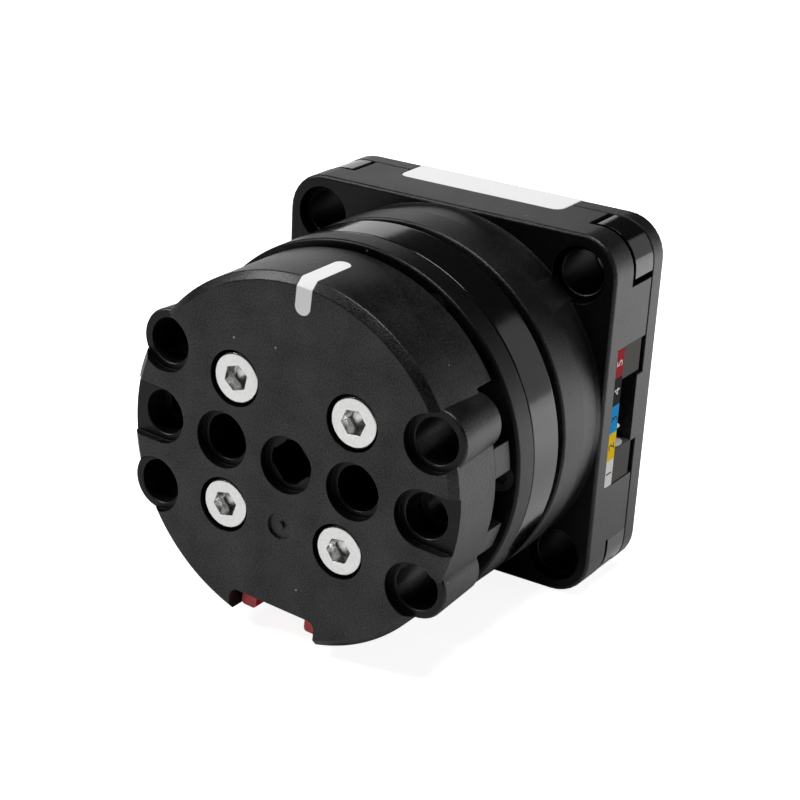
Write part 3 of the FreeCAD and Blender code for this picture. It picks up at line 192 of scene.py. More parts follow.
class Solid:
    """A closed mesh under construction, held by one Blender object at the origin."""

    def __init__(self, name: str, mesh: bmesh.types.BMesh) -> None:
        """Take over a bmesh, turn its faces outwards and link it to the scene."""
        bmesh.ops.remove_doubles(mesh, verts=mesh.verts, dist=1e-8)
        bmesh.ops.recalc_face_normals(mesh, faces=mesh.faces)
        data = bpy.data.meshes.new(name)
        mesh.to_mesh(data)
        mesh.free()
        self.item = linked(name, data)

    @classmethod
    def lathe(cls, name: str, profile: Sequence[Corner], segments: int = 192) -> "Solid":
        """Return a body turned about the output axis.

        Args:
            name: name of the object.
            profile: radius, depth and corner radius of each corner of the closed profile.
            segments: faces round the axis.

        Returns:
            The new solid.
        """
        mesh = bmesh.new()
        rows = []
        for radius, depth in rounded(profile, 5):
            points = ring_of(0, 0, radius, segments) if radius >= 1e-6 else [(0, 0)]
            rows.append([mesh.verts.new(spot(x, depth, z)) for x, z in points])
        for row, after in zip(rows, rows[1:] + rows[:1]):
            cls._skin(mesh, row, after)
        return cls(name, mesh)

    @classmethod
    def loft(cls, name: str, loops: Sequence[Sequence[Vector]]) -> "Solid":
        """Return a body with a skin over matching loops and a flat cap at each end."""
        mesh = bmesh.new()
        rows = [[mesh.verts.new(point) for point in loop] for loop in loops]
        for row, after in zip(rows, rows[1:]):
            cls._skin(mesh, row, after)
        mesh.faces.new(rows[0])
        mesh.faces.new(rows[-1])
        return cls(name, mesh)

    @classmethod
    def prism(cls, name: str, outline: Sequence[Point], front: float, rear: float) -> "Solid":
        """Return an outline seen from the front, drawn from one depth to another."""
        return cls.loft(name, [[spot(x, depth, z) for x, z in outline] for depth in (front, rear)])

    @classmethod
    def box(cls, x: Point, z: Point, front: float, rear: float, radius: float = 0.0) -> "Solid":
        """Return a block; x and z give its sides in any order, radius rounds its four long edges."""
        (x0, x1), (z0, z1) = sorted(x), sorted(z)
        outline = rounded([(x0, z0, radius), (x1, z0, radius), (x1, z1, radius), (x0, z1, radius)])
        return cls.prism("box", outline, front, rear)

    @classmethod
    def stack(cls, x: float, z: float, rows: Iterable[Point], count: int = 64) -> "Solid":
        """Return a round bar along the output axis through rows of depth and radius."""
        rings = ((depth, ring_of(x, z, radius, count)) for depth, radius in rows)
        return cls.loft("rod", [[spot(px, depth, pz) for px, pz in ring] for depth, ring in rings])

    @classmethod
    def rod(
        cls, x: float, z: float, radius: float, front: float, rear: float, end: float | None = None, count: int = 64
    ) -> "Solid":
        """Return a round bar or cone along the output axis; end is its rear radius."""
        return cls.stack(x, z, ((front, radius), (rear, radius if end is None else end)), count)

    @classmethod
    def rods(cls, spots: Iterable[Point], radius: float, front: float, rear: float, count: int = 64) -> list["Solid"]:
        """Return the same round bar at several spots."""
        return [cls.rod(x, z, radius, front, rear, count=count) for x, z in spots]

    @classmethod
    def mouth(cls, x: float, z: float, radius: float, depth: float, size: float) -> "Solid":
        """Return a cutter that chamfers the mouth of a hole in a face that looks forward."""
        return cls.rod(x, z, radius + size * 2, depth - size, depth + size, radius)

    @staticmethod
    def _skin(mesh: bmesh.types.BMesh, row: list, after: list) -> None:
        """Join two loops of vertices with faces; a loop of one vertex is a pole."""
        count = max(len(row), len(after))
        if count < 2:
            return
        for index in range(count):
            follow = (index + 1) % count
            if len(row) == 1:
                mesh.faces.new((row[0], after[follow], after[index]))
            elif len(after) == 1:
                mesh.faces.new((row[index], row[follow], after[0]))
            else:
                mesh.faces.new((row[index], row[follow], after[follow], after[index]))

    def edit(self, how: Edit, others: Iterable["Solid"]) -> "Solid":
        """Add, cut or intersect other solids, which are used up.

        Args:
            how: what the others do to this solid.
            others: the solids to apply, one after another.

        Returns:
            This solid.
        """
        tools = list(others)
        for tool in tools:
            step = self.item.modifiers.new("edit", "BOOLEAN")
            step.operation = how.value
            step.object = tool.item
            step.solver = "MANIFOLD"
        self.bake()
        for tool in tools:
            tool.discard()
        return self

    def add(self, *others: "Solid") -> "Solid":
        """Fuse other solids to this one."""
        return self.edit(Edit.ADD, others)

    def cut(self, *others: "Solid") -> "Solid":
        """Cut other solids out of this one."""
        return self.edit(Edit.CUT, others)

    def bake(self) -> None:
        """Turn the modifiers into plain mesh."""
        old, data = self.item.data, final_mesh(self.item)
        self.item.modifiers.clear()
        self.item.data = data
        bpy.data.meshes.remove(old)

    def turned(self, degrees: float) -> "Solid":
        """Turn the mesh about the output axis."""
        self.item.data.transform(Matrix.Rotation(math.radians(degrees), 4, "Y"))
        return self

    def discard(self) -> None:
        """Remove the solid from the scene."""
        data = self.item.data
        bpy.data.objects.remove(self.item)
        bpy.data.meshes.remove(data)

    def finish(self, name: str, material: bpy.types.Material) -> bpy.types.Object:
        """Clean the mesh, shade it and give it its material.

        Args:
            name: name of the finished piece.
            material: its material.

        Returns:
            The finished object.
        """
        mesh = bmesh.new()
        mesh.from_mesh(self.item.data)
        bmesh.ops.remove_doubles(mesh, verts=mesh.verts, dist=2e-7)
        bmesh.ops.dissolve_degenerate(mesh, edges=mesh.edges, dist=1e-7)
        mesh.to_mesh(self.item.data)
        mesh.free()
        self.item.data.shade_smooth()
        self.item.data.set_sharp_from_angle(angle=math.radians(SHARP))
        step = self.item.modifiers.new("flat_faces", "WEIGHTED_NORMAL")
        step.keep_sharp = True
        step.weight = 90
        self.bake()
        data = self.item.data
        data.materials.clear()
        data.materials.append(material)
        self.item.name = data.name = name
        return self.item


# --------------------------------------------------------------------------- node tools


class Nodes:
    """A short way to add and join nodes in one tree."""

    def __init__(self, tree: bpy.types.NodeTree) -> None:
        """Keep the tree that nodes are added to."""
        self.tree = tree

    def add(self, kind: str, inputs: dict | None = None, **settings: object) -> bpy.types.Node:
        """Add a node.

        Args:
            kind: the node's type name without its ShaderNode prefix where it has one.
            inputs: socket name or number to a value or to an output socket to join.
            settings: properties of the node.

        Returns:
            The new node.
        """
        name = kind if kind.startswith(("Node", "Geometry", "Function")) else f"ShaderNode{kind}"
        node = self.tree.nodes.new(name)
        for key, value in settings.items():
            setattr(node, key, value)
        for key, value in (inputs or {}).items():
            if isinstance(value, Socket):
                self.tree.links.new(value, node.inputs[key])
            else:
                node.inputs[key].default_value = value
        return node

    def math(self, operation: str, *values: object) -> Socket:
        """Return the output of a Math node."""
        return self.add("Math", dict(enumerate(values)), operation=operation).outputs[0]

    def product(self, *values: object) -> Socket:
        """Return two numbers multiplied."""
        return self.math("MULTIPLY", *values)

    def reach(self, first: object, second: object) -> Socket:
        """Return the length of two numbers at right angles."""
        return self.math("SQRT", self.math("ADD", *(self.math("POWER", value, 2.0) for value in (first, second))))

    def ramp(self, value: object, low: float, high: float, start: float, end: float) -> Socket:
        """Return value mapped from low..high to start..end, clamped."""
        inputs = {"Value": value, "From Min": low, "From Max": high, "To Min": start, "To Max": end}
        return self.add("MapRange", inputs, clamp=True).outputs[0]

    def mix(self, factor: object, *colours: Socket | Colour) -> Socket:
        """Return two colours mixed."""
        first, second = (colour if isinstance(colour, Socket) else (*colour, 1.0) for colour in colours)
        return self.add("Mix", {0: factor, 6: first, 7: second}, data_type="RGBA").outputs[2]

    def place(self) -> tuple[Socket, Sequence[Socket]]:
        """Return the place on the object, in metres, whole and in its three parts."""
        where = self.add("TexCoord").outputs["Object"]
        return where, self.add("SeparateXYZ", {0: where}).outputs


def fresh_nodes(owner: bpy.types.Material | bpy.types.World) -> Nodes:
    """Return the emptied node tree of a material or a world."""
    owner.use_nodes = True
    owner.node_tree.nodes.clear()
    return Nodes(owner.node_tree)


class Effects:
    """Shader node groups that several finishes share."""

    @staticmethod
    def _group(name: str, inputs: dict[str, float], *outputs: str) -> tuple[Nodes, Sequence, Sequence]:
        """Return a new group's tree, its entry and its exit; it takes a vector and numbers."""
        tree = bpy.data.node_groups.new(name, "ShaderNodeTree")
        tree.interface.new_socket("Vector", in_out="INPUT", socket_type="NodeSocketVector")
        for key, value in inputs.items():
            item = tree.interface.new_socket(key, in_out="INPUT", socket_type="NodeSocketFloat")
            item.default_value = value
        for key in outputs:
            kind = "NodeSocketVector" if key == "Normal" else "NodeSocketFloat"
            tree.interface.new_socket(key, in_out="OUTPUT", socket_type=kind)
        nodes = Nodes(tree)
        return nodes, nodes.add("NodeGroupInput").outputs, nodes.add("NodeGroupOutput").inputs

    @classmethod
    @cache
    def grain(cls) -> bpy.types.NodeTree:
        """Return the fine even texture of a spark-eroded mould: height, tone and rare flecks."""
        nodes, entry, leave = cls._group("moulded_grain", {"Size": 0.2, "Flecks": 0.0}, "Height", "Tone", "Fleck")
        join = nodes.tree.links.new
        where, scale = entry["Vector"], nodes.math("DIVIDE", 1000.0, entry["Size"])
        inputs = {"Vector": where, "Scale": scale, "Detail": 2.0, "Roughness": 0.6}
        fine = nodes.add("TexNoise", inputs).outputs[0]
        inputs = {"Vector": where, "Scale": nodes.product(scale, 0.045), "Detail": 3.0}
        wide = nodes.add("TexNoise", inputs).outputs[0]
        cells = nodes.add("TexVoronoi", {"Vector": where, "Scale": nodes.product(scale, 0.12)}).outputs
        near = nodes.math("LESS_THAN", cells["Distance"], 0.075)
        chance = nodes.add("SeparateColor", {0: cells["Color"]}).outputs[0]
        rare = nodes.math("LESS_THAN", chance, entry["Flecks"])
        tone = nodes.math("ADD", nodes.product(fine, 0.6), nodes.product(wide, 0.4))
        join(nodes.ramp(fine, 0.3, 0.7, 0.0, 1.0), leave["Height"])
        join(nodes.ramp(tone, 0.35, 0.65, 0.0, 1.0), leave["Tone"])
        join(nodes.product(near, rare), leave["Fleck"])
        return nodes.tree

    @classmethod
    @cache
    def soft_edge(cls) -> bpy.types.NodeTree:
        """Return small rounded edges: a normal and a mask that is 1 along the edge."""
        nodes, entry, leave = cls._group("rounded_edge", {"Radius": 0.1}, "Normal", "Edge")
        bevel = nodes.add("Bevel", {"Radius": nodes.product(entry["Radius"], MM)}, samples=6).outputs[0]
        facing = nodes.add("NewGeometry").outputs["Normal"]
        match = nodes.add("VectorMath", {0: bevel, 1: facing}, operation="DOT_PRODUCT").outputs["Value"]
        nodes.tree.links.new(bevel, leave["Normal"])
        nodes.tree.links.new(nodes.ramp(match, 0.995, 0.85, 0.0, 1.0), leave["Edge"])
        return nodes.tree

    @classmethod
    @cache
    def brushed(cls) -> bpy.types.NodeTree:
        """Return fine turning marks round the output axis: height and tone."""
        nodes, entry, leave = cls._group("turning_marks", {"Spacing": 0.06}, "Height", "Tone")
        parts = nodes.add("SeparateXYZ", {0: entry["Vector"]}).outputs
        scale = nodes.math("DIVIDE", 1000.0, entry["Spacing"])
        radius = nodes.reach(parts[0], parts[2])
        across = nodes.add("CombineXYZ", {0: nodes.product(radius, scale), 1: nodes.product(parts[1], scale)})
        noise = nodes.add("TexNoise", {"Vector": across.outputs[0], "Scale": 1.0, "Detail": 2.0}).outputs[0]
        nodes.tree.links.new(noise, leave["Height"])
        nodes.tree.links.new(nodes.ramp(noise, 0.3, 0.7, 0.0, 1.0), leave["Tone"])
        return nodes.tree


@dataclass(frozen=True)
class Finish:
    """A surface: its colour, gloss and relief.

    Attributes:
        name: name of the material.
        colour: linear base colour.
        light: colour of the high spots of the grain.
        rough: roughness between the grains and on them.
        metal: 1 for bare metal.
        grain: size of the grain in mm.
        depth: depth of the grain in mm.
        flecks: share of cells that hold a speck of dust.
        edge: radius of the softened edges in mm.
        edge_tone: how much lighter the edges are painted, a painted highlight along them.
        coat: clear coat weight.
        specular: specular level.
        turned: turning marks in place of the moulded grain.
        mottle: how much the grain breaks up the gloss.
    """

    name: str
    colour: Colour
    light: Colour
    rough: Point
    metal: float = 0.0
    grain: float = 0.18
    depth: float = 0.01
    flecks: float = 0.0
    edge: float = 0.1
    edge_tone: float = 0.25
    coat: float = 0.0
    specular: float = 0.5
    turned: bool = False
    mottle: float = 0.0

    def material(self, paint: Paint | None = None) -> bpy.types.Material:
        """Build the material, or return it if it is there.

        Args:
            paint: draws on the base colour; takes the tree and the colour, returns the colour.

        Returns:
            The material.
        """
        if self.name in bpy.data.materials:
            return bpy.data.materials[self.name]
        item = bpy.data.materials.new(self.name)
        nodes = fresh_nodes(item)
        inputs = {"Vector": nodes.add("TexCoord").outputs["Object"]}
        if self.turned:
            inputs["Spacing"] = self.grain
        else:
            inputs |= {"Size": self.grain, "Flecks": self.flecks}
        group = Effects.brushed() if self.turned else Effects.grain()
        relief = nodes.add("Group", inputs, node_tree=group).outputs
        edges = nodes.add("Group", {"Radius": self.edge}, node_tree=Effects.soft_edge()).outputs
        # Painted highlight: the base colour is lightened along every softened edge.
        highlight_lift = self.edge_tone
        edge_highlight_colour = tuple(min(1.0, channel + highlight_lift * 0.12 + channel * highlight_lift) for channel in self.colour)
        colour = nodes.mix(relief["Tone"], self.colour, self.light)
        colour = nodes.mix(nodes.product(edges["Edge"], 0.7), colour, edge_highlight_colour)
        if self.flecks:
            colour = nodes.mix(relief["Fleck"], colour, (0.2, 0.2, 0.2))
        if paint is not None:
            colour = paint(nodes, colour)
        dull, shiny = self.specular * (1.0 - self.mottle), self.specular * (1.0 + self.mottle)
        inputs = {"Distance": self.depth * MM, "Height": relief["Height"], "Normal": edges["Normal"]}
        bump = nodes.add("Bump", {"Strength": 1.0, **inputs}).outputs[0]
        inputs = {
            "Base Color": colour,
            "Roughness": nodes.ramp(relief["Tone"], 0.0, 1.0, *self.rough),
            "Metallic": self.metal,
            "Normal": bump,
            "Coat Weight": self.coat,
            "Specular IOR Level": nodes.ramp(relief["Tone"], 0.0, 1.0, dull, shiny),
        }
        nodes.add("OutputMaterial", {"Surface": nodes.add("BsdfPrincipled", inputs).outputs[0]})
        return item


def grey(level: float, tint: float = 0.0) -> Colour:
    """Return a neutral colour with a little more or less blue."""
    return (level, level, level + tint)


class Finishes:
    """The finishes of the actuator."""

    GRAINED = Finish(
        "grained_black", grey(0.002, 0.0001), grey(0.007, 0.0002), (0.34, 0.46), grain=0.2, depth=0.016,
        flecks=0.03, edge_tone=0.1, specular=0.36, mottle=0.35,
    )
    # Painted shade: a darker, nearly unreflecting black laid on the walls and floors of deep bores, where shade falls.
    BORE = Finish(
        "bore_painted_shade", grey(0.0008), grey(0.002), (0.45, 0.55), grain=0.3, depth=0.003, edge=0.05,
        edge_tone=0.05, specular=0.03,
    )
    # A darker matt black. It is used on the front ring, and as painted shade on the flange's front and in the disc's
    # holes.
    MATT = Finish(
        "matt_black_and_painted_shade", grey(0.001), grey(0.003), (0.3, 0.42), grain=0.16, depth=0.012, flecks=0.02,
        edge_tone=0.06, specular=0.2,
    )
    DISC = Finish(
        "disc_black", grey(0.001), grey(0.009, 0.0003), (0.3, 0.42), grain=0.2, depth=0.013, flecks=0.04,
        edge_tone=0.12, specular=0.37, mottle=0.4,
    )
    GLOSS = Finish(
        "polished_black", grey(0.002, 0.0001), grey(0.003, 0.0001), (0.1, 0.14), grain=0.9, depth=0.0015,
        edge_tone=0.05, specular=0.42,
    )
    HUB = Finish(
        "anodised_black", grey(0.012, 0.0005), grey(0.02, 0.0005), (0.34, 0.42), 0.4, 0.08, 0.002,
        edge_tone=0.1, turned=True,
    )
    ZINC = Finish(
        "zinc_plated", grey(0.64, -0.01), grey(0.76, -0.01), (0.16, 0.26), 1.0, 0.3, 0.002, edge=0.05,
        edge_tone=0.1,
    )
    STEEL = Finish("ground_steel", grey(0.42, 0.01), grey(0.52, 0.01), (0.22, 0.34), 1.0, 0.05, 0.002, turned=True)
    POLISHED = Finish("polished_steel", grey(0.6, 0.02), grey(0.66, 0.02), (0.08, 0.14), 1.0, 0.5, 0.001)
    GEAR = Finish("hardened_steel", (0.25, 0.24, 0.24), (0.34, 0.33, 0.33), (0.3, 0.42), 1.0, 0.12, 0.003)
    BRONZE = Finish("sintered_bronze", (0.42, 0.24, 0.09), (0.52, 0.31, 0.13), (0.36, 0.5), 1.0, 0.1, 0.006)
    NYLON = Finish("natural_nylon", (0.55, 0.5, 0.38), (0.62, 0.57, 0.44), (0.4, 0.5), 0.0, 0.3, 0.003)
    ALLOY = Finish("machined_alloy", grey(0.6, 0.01), grey(0.7, 0.01), (0.26, 0.36), 1.0, 0.06, 0.002, turned=True)
    PHOSPHATE = Finish("phosphated_steel", grey(0.03, 0.002), grey(0.055, 0.003), (0.42, 0.58), 0.7, 0.12, 0.004)
    NICKEL = Finish("nickel_plate", (0.52, 0.5, 0.46), (0.6, 0.58, 0.54), (0.14, 0.22), 1.0, 0.4, 0.001)
    LAMINATE = Finish(
        "coated_laminate", (0.12, 0.125, 0.14), (0.2, 0.205, 0.22), (0.38, 0.5), 0.8, 0.2, 0.008, turned=True
    )
    COPPER = Finish("enamelled_copper", (0.45, 0.13, 0.04), (0.6, 0.2, 0.07), (0.22, 0.32), 0.85, 0.25, 0.03, coat=0.3)
    BOARD = Finish("solder_mask", (0.008, 0.06, 0.03), (0.012, 0.085, 0.042), (0.28, 0.36), 0.0, 0.5, 0.003)
    PACKAGE = Finish("moulded_package", grey(0.015, 0.001), grey(0.024, 0.001), (0.45, 0.55), 0.0, 0.1, 0.004)
    EMITTER = Finish("light_emitter", (0.75, 0.74, 0.6), (0.82, 0.8, 0.66), (0.3, 0.4), 0.0, 0.2, 0.002)
    DIFFUSER = Finish(
        "white_diffuser", grey(0.68, 0.01), grey(0.72, 0.01), (0.4, 0.48), 0.0, 0.35, 0.002, edge_tone=0.0
    )
    GREY = Finish(
        "grey_surround", (0.078, 0.07, 0.069), (0.088, 0.08, 0.078), (0.5, 0.6), 0.0, 0.15, 0.005,
        edge_tone=0.05, specular=0.05,
    )
    RED = Finish(
        "red_slider_plastic", (0.56, 0.034, 0.044), (0.64, 0.045, 0.056), (0.36, 0.44), 0.0, 0.2, 0.004,
        edge_tone=0.1,
    )
    GOLD = Finish("gold_plate", (0.75, 0.52, 0.2), (0.82, 0.6, 0.26), (0.16, 0.24), 1.0, 0.2, 0.001)
    CONNECTOR = Finish("connector_black", grey(0.014, 0.001), grey(0.022, 0.001), (0.34, 0.44), 0.0, 0.15, 0.003)
    LABEL = Finish(
        "printed_label", grey(0.5), grey(0.52), (0.5, 0.55), 0.0, 0.5, 0.001, edge_tone=0.0, specular=0.02
    )
    INK_WHITE = Finish(
        "white_ink", grey(0.78), grey(0.84), (0.4, 0.5), 0.0, 0.1, 0.001, edge=0.01, edge_tone=0.0, specular=0.02
    )
    INK_BLACK = Finish(
        "black_ink", grey(0.008, 0.001), grey(0.014, 0.001), (0.4, 0.5), 0.0, 0.1, 0.001, edge=0.01,
        edge_tone=0.0, specular=0.02,
    )
    SPRING = Finish("spring_wire", grey(0.4, 0.02), grey(0.5, 0.02), (0.2, 0.3), 1.0, 0.1, 0.001)


class Layout:
    """A piece that Geometry Nodes make and that is kept as plain mesh."""

    def __init__(self, name: str, values: dict[str, object]) -> None:
        """Start a tree.

        Args:
            name: name of the piece.
            values: name and value of each input: a number, an object or a material.
        """
        self.name, self.values = name, values
        tree = bpy.data.node_groups.new(f"{name}_layout", "GeometryNodeTree")
        for key, value in values.items():
            kind = {int: "Int", float: "Float"}.get(type(value), type(value).__name__)
            tree.interface.new_socket(key, in_out="INPUT", socket_type=f"NodeSocket{kind}")
        tree.interface.new_socket("Geometry", in_out="OUTPUT", socket_type="NodeSocketGeometry")
        self.nodes = Nodes(tree)
        self.entry = self.nodes.add("NodeGroupInput").outputs

    def bake(self, geometry: Socket) -> bpy.types.Object:
        """Return what a socket gives as an object of plain mesh."""
        real = self.nodes.add("GeometryNodeRealizeInstances", {0: geometry}).outputs[0]
        inputs = {"Geometry": real, "Material": self.entry["Material"]}
        dressed = self.nodes.add("GeometryNodeSetMaterial", inputs).outputs[0]
        self.nodes.add("NodeGroupOutput", {"Geometry": dressed})
        item = linked(self.name, bpy.data.meshes.new(self.name))
        step = item.modifiers.new("layout", "NODES")
        step.node_group = self.nodes.tree
        for socket in self.nodes.tree.interface.items_tree:
            if socket.name in self.values:
                step[socket.identifier] = self.values[socket.name]
        data = final_mesh(item)
        item.modifiers.clear()
        item.data = data
        data.shade_smooth()
        return item


# --------------------------------------------------------------------------- sub-assemblies


class Assembly:
    """A named group of pieces that is built and then handed to the frame."""

    @staticmethod
    def hand_over(item: bpy.types.Object, body: Body, slot: str, *nodes: str) -> None:
        """Let a finished piece ride on a body and stand for CAD nodes."""
        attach(item, body.value)
        if nodes:
            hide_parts(*nodes)
        LOG.info("%s: %d faces on %s", item.name, len(item.data.polygons), body.value)

    def put(
        self,
        solid: Solid,
        name: str,
        finish: Finish,
        body: Body,
        slot: str,
        *nodes: str,
        paint: Paint | None = None,
        faces: dict[Finish, FaceTest] | None = None,
    ) -> None:
        """Finish a solid and hand it over.

        Args:
            solid: the solid.
            name: name of the piece.
            finish: its finish.
            body: the rigid body it rides on.
            slot: its slot in the frame's materials; not used.
            nodes: the CAD nodes it stands for.
            paint: draws on the base colour.
            faces: other finishes, each with a test that picks its faces.
        """
        item = solid.finish(name, finish.material(paint))
        for other, chosen in (faces or {}).items():
            self.face_finish(item, other, chosen)
        self.hand_over(item, body, slot, *nodes)

    @staticmethod
    def face_finish(item: bpy.types.Object, finish: Finish, chosen: FaceTest) -> None:
        """Give another finish to some faces of a finished piece.

        Args:
            item: the piece.
            finish: the other finish.
            chosen: takes the middle (in mm, with its depth as y) and the normal of a face.
        """
        item.data.materials.append(finish.material())
        last = len(item.data.materials) - 1
        for face in item.data.polygons:
            middle = face.center / MM + Vector((0.0, LENGTH, 0.0))
            if chosen(middle, face.normal):
                face.material_index = last

    def build(self) -> None:
        """Build every piece of the group."""
        raise NotImplementedError


@dataclass
class OutputDisc(Assembly):
    """The moulded disc with its grid of pin holes, corner tubes and printed index mark."""

    radius: float = 19.7
    chamfer: float = 0.8
    plate: float = 1.6
    wall: float = 1.8
    skirt: float = 10.4
    window: float = 7.5
    boss_rear: float = 8.0
    rim_end: float = 35.7
    mouth_depth: float = 1.0
    step_depth: float = 4.0
    step_bore: float = 1.65
    rib_half: float = 0.6
    rib_reach: float = 18.6
    guide: Point = (-15.95, -11.8)
    guide_outer: float = 6.05
    guide_rear: float = 5.7
    spring_seat: float = 5.4
    screw_bore: float = 1.65
    head_bore: float = 2.98
    head_seat: float = 3.3
    notch_half: float = 5.35
    notch_top: float = 16.15
    mark_low: float = 6.9
    mark_radius: float = 1.45

    def build(self) -> None:
        """Build the disc."""
        solid = self.shell()
        self.carve(solid)
        solid.turned(REST_TURN)
        names = ("black_grained", "output_disc")
        # Hole walls and floors get the darker matt black: painted shade.
        faces = {Finishes.MATT: self.in_hole}
        self.put(
            solid, "output_disc_moulding", Finishes.DISC, Body.OUTPUT, *names, paint=self.print_mark, faces=faces
        )

    def in_hole(self, middle: Vector, normal: Vector) -> bool:
        """Tell whether a face is the wall of a pin hole, screw hole or the centre hole; these faces get painted shade.
        """
        if middle.y < 0.03 or abs(normal.y) > 0.98 and middle.y > self.mouth_depth + 0.1:
            return False
        flat = middle.copy()
        flat.rotate(Matrix.Rotation(math.radians(-REST_TURN), 3, "Y"))
        x, z, reach = abs(flat.x), abs(flat.z), MOUTH + 0.02
        if math.hypot(x, z) < reach or math.hypot(x - PITCH, z) < reach:
            return True
        if math.hypot(x - SCREW_SIDE, z - SCREW_SIDE) < 3.0:
            return True
        outer = math.hypot(x - GRID, z) < reach or math.hypot(x - GRID, z - PITCH) < reach
        return outer and middle.y < self.mouth_depth + 0.01

    def shell(self) -> Solid:
        """Return plate, rim, tubes, bosses and ribs in one."""
        rim, inner, plate, skirt = self.radius, self.radius - self.wall, self.plate, self.skirt
        profile = [(0, 0, 0), (rim - self.chamfer, 0, 0.25), (rim, self.chamfer * 0.95, 0.25), (rim, skirt, 0.2)]
        profile += [(inner, skirt, 0.2), (inner, plate, 0.3), (0, plate, 0)]
        solid = Solid.lathe("disc", profile, ROUND)
        for reach in (rim * 1.5, -rim * 1.5):
            run = reach * math.cos(math.radians(self.rim_end))
            rise = reach * math.sin(math.radians(self.rim_end))
            solid.cut(Solid.prism("wedge", [(0, 0), (run, -rise), (run, rise)], self.window, skirt + 1))
        seat, foot = plate - 0.3, plate - 0.2
        parts = [self.tube(x, z) for x, z in four(GRID, PITCH)]
        parts += Solid.rods([(0, 0), (PITCH, 0), (-PITCH, 0)], 3.7, seat, self.boss_rear)
        parts += Solid.rods([(GRID, 0), (-GRID, 0)], 3.35, seat, self.window - 0.05)
        parts += Solid.rods(four(SCREW_SIDE, SCREW_SIDE), 3.9, seat, self.boss_rear)
        thick, far = (-self.rib_half, self.rib_half), self.rib_reach
        parts.append(Solid.box((-far, far), thick, foot, self.window - 0.1))
        parts.append(Solid.box(thick, (0, far), foot, self.window - 0.1))
        parts.append(Solid.box((-1.65, 1.65), (-self.spring_seat, 0), foot, 5.5))
        for sign in (1, -1):
            for inside, front in ((5.05, foot), (4.25, 4.8)):
                sides = (sign * inside, sign * self.guide_outer)
                parts.append(Solid.box(sides, self.guide, front, self.guide_rear))
        return solid.add(*parts)

    def tube(self, x: float, z: float) -> Solid:
        """Return one drafted corner tube with a softened front edge."""
        front, rear = self.mouth_depth, self.boss_rear
        rows = ((front, 3.14), (front + 0.08, 3.26), (front + 0.25, 3.34), (rear - 0.1, 3.06), (rear, 2.98))
        return Solid.stack(x, z, rows, FINE)

    def carve(self, solid: Solid) -> None:
        """Cut the pin holes, screw holes, lobed centre hole, gate mark and the latch's notch."""
        cutters = []
        deep, shallow = self.skirt + 1, self.mouth_depth
        for x, z in [(0, 0), (PITCH, 0), (-PITCH, 0), (GRID, 0), (-GRID, 0)] + four(GRID, PITCH):
            cutters.append(Solid.rod(x, z, MOUTH, -1, shallow, count=FINE))
            if x or z:
                stepped = abs(x) > PITCH and z == 0
                cutters.append(Solid.rod(x, z, PIN, -1, self.step_depth if stepped else deep, count=FINE))
                cutters.append(Solid.mouth(x, z, PIN, shallow, 0.08))
                if stepped:
                    cutters.append(Solid.rod(x, z, self.step_bore, -1, deep))
        cutters += [Solid.box((sign * GRID, sign * 22), (-MOUTH, MOUTH), -1, shallow) for sign in (1, -1)]
        for x, z in four(SCREW_SIDE, SCREW_SIDE):
            cutters.append(Solid.rod(x, z, self.head_bore, -1, self.head_seat, count=FINE))
            cutters.append(Solid.rod(x, z, self.screw_bore, -1, deep, count=48))
        cutters.append(Solid.prism("lobes", self.lobed_outline(), -1, deep))
        half, top = self.notch_half, -self.notch_top
        notch = rounded([(-half, top, 0.9), (half, top, 0.9), (half, -25, 0), (-half, -25, 0)])
        cutters.append(Solid.prism("notch", notch, -1, deep))
        solid.cut(*cutters)
        mark = Solid.rod(0, -self.mark_low, self.mark_radius, -1, 0.28)
        solid.cut(mark.cut(Solid.rod(0, -self.mark_low, 0.36, -2, 1, 0.42, 32)))

    @staticmethod
    def lobed_outline() -> list[Point]:
        """Return the centre hole's outline: four round lobes between four straight lands."""
        outline: list[Point] = []
        lobe, land, half, quarter_half = 2.42, 2.09, 21.5, 44
        slope = quarter_half - half
        for middle in range(0, 360, 90):
            turns = [(lobe, middle + half * step / 4) for step in range(-4, 5)]
            turns += [(land / math.cos(math.radians(slope)), middle + 45 + side * slope) for side in (-1, 1)]
            for reach, degrees in turns:
                angle = math.radians(degrees)
                outline.append((reach * math.cos(angle), reach * math.sin(angle)))
        return outline

    def print_mark(self, nodes: Nodes, colour: Socket) -> Socket:
        """Paint the white index mark over the upper edge of the disc."""
        where = nodes.add("TexCoord").outputs["Object"]
        turn, size = (0, math.radians(-REST_TURN), 0), (1 / MM, 1 / MM, 1 / MM)
        flat = nodes.add("Mapping", {"Vector": where, "Rotation": turn, "Scale": size}).outputs[0]
        x, y, z = nodes.add("SeparateXYZ", {0: flat}).outputs
        depth = nodes.math("ADD", y, LENGTH)
        below = nodes.math("MAXIMUM", nodes.math("SUBTRACT", 17.0, z), 0.0)
        behind = nodes.math("MAXIMUM", nodes.math("SUBTRACT", depth, 6.2), 0.0)
        past_end = nodes.reach(nodes.math("SUBTRACT", x, 0.1), nodes.math("ADD", below, behind))
        mask = nodes.ramp(past_end, 0.93, 0.87, 0.0, 1.0)
        high = nodes.math("LESS_THAN", nodes.math("SUBTRACT", self.radius - 0.9, z), 3.0)
        outer = nodes.math("GREATER_THAN", nodes.reach(x, z), 15.9)
        front = nodes.math("LESS_THAN", depth, 1.3)
        wall = nodes.math("GREATER_THAN", z, 19.2)
        shown = nodes.product(nodes.math("MAXIMUM", front, wall), nodes.product(outer, high))
        return nodes.mix(nodes.product(mask, shown), colour, grey(0.72))


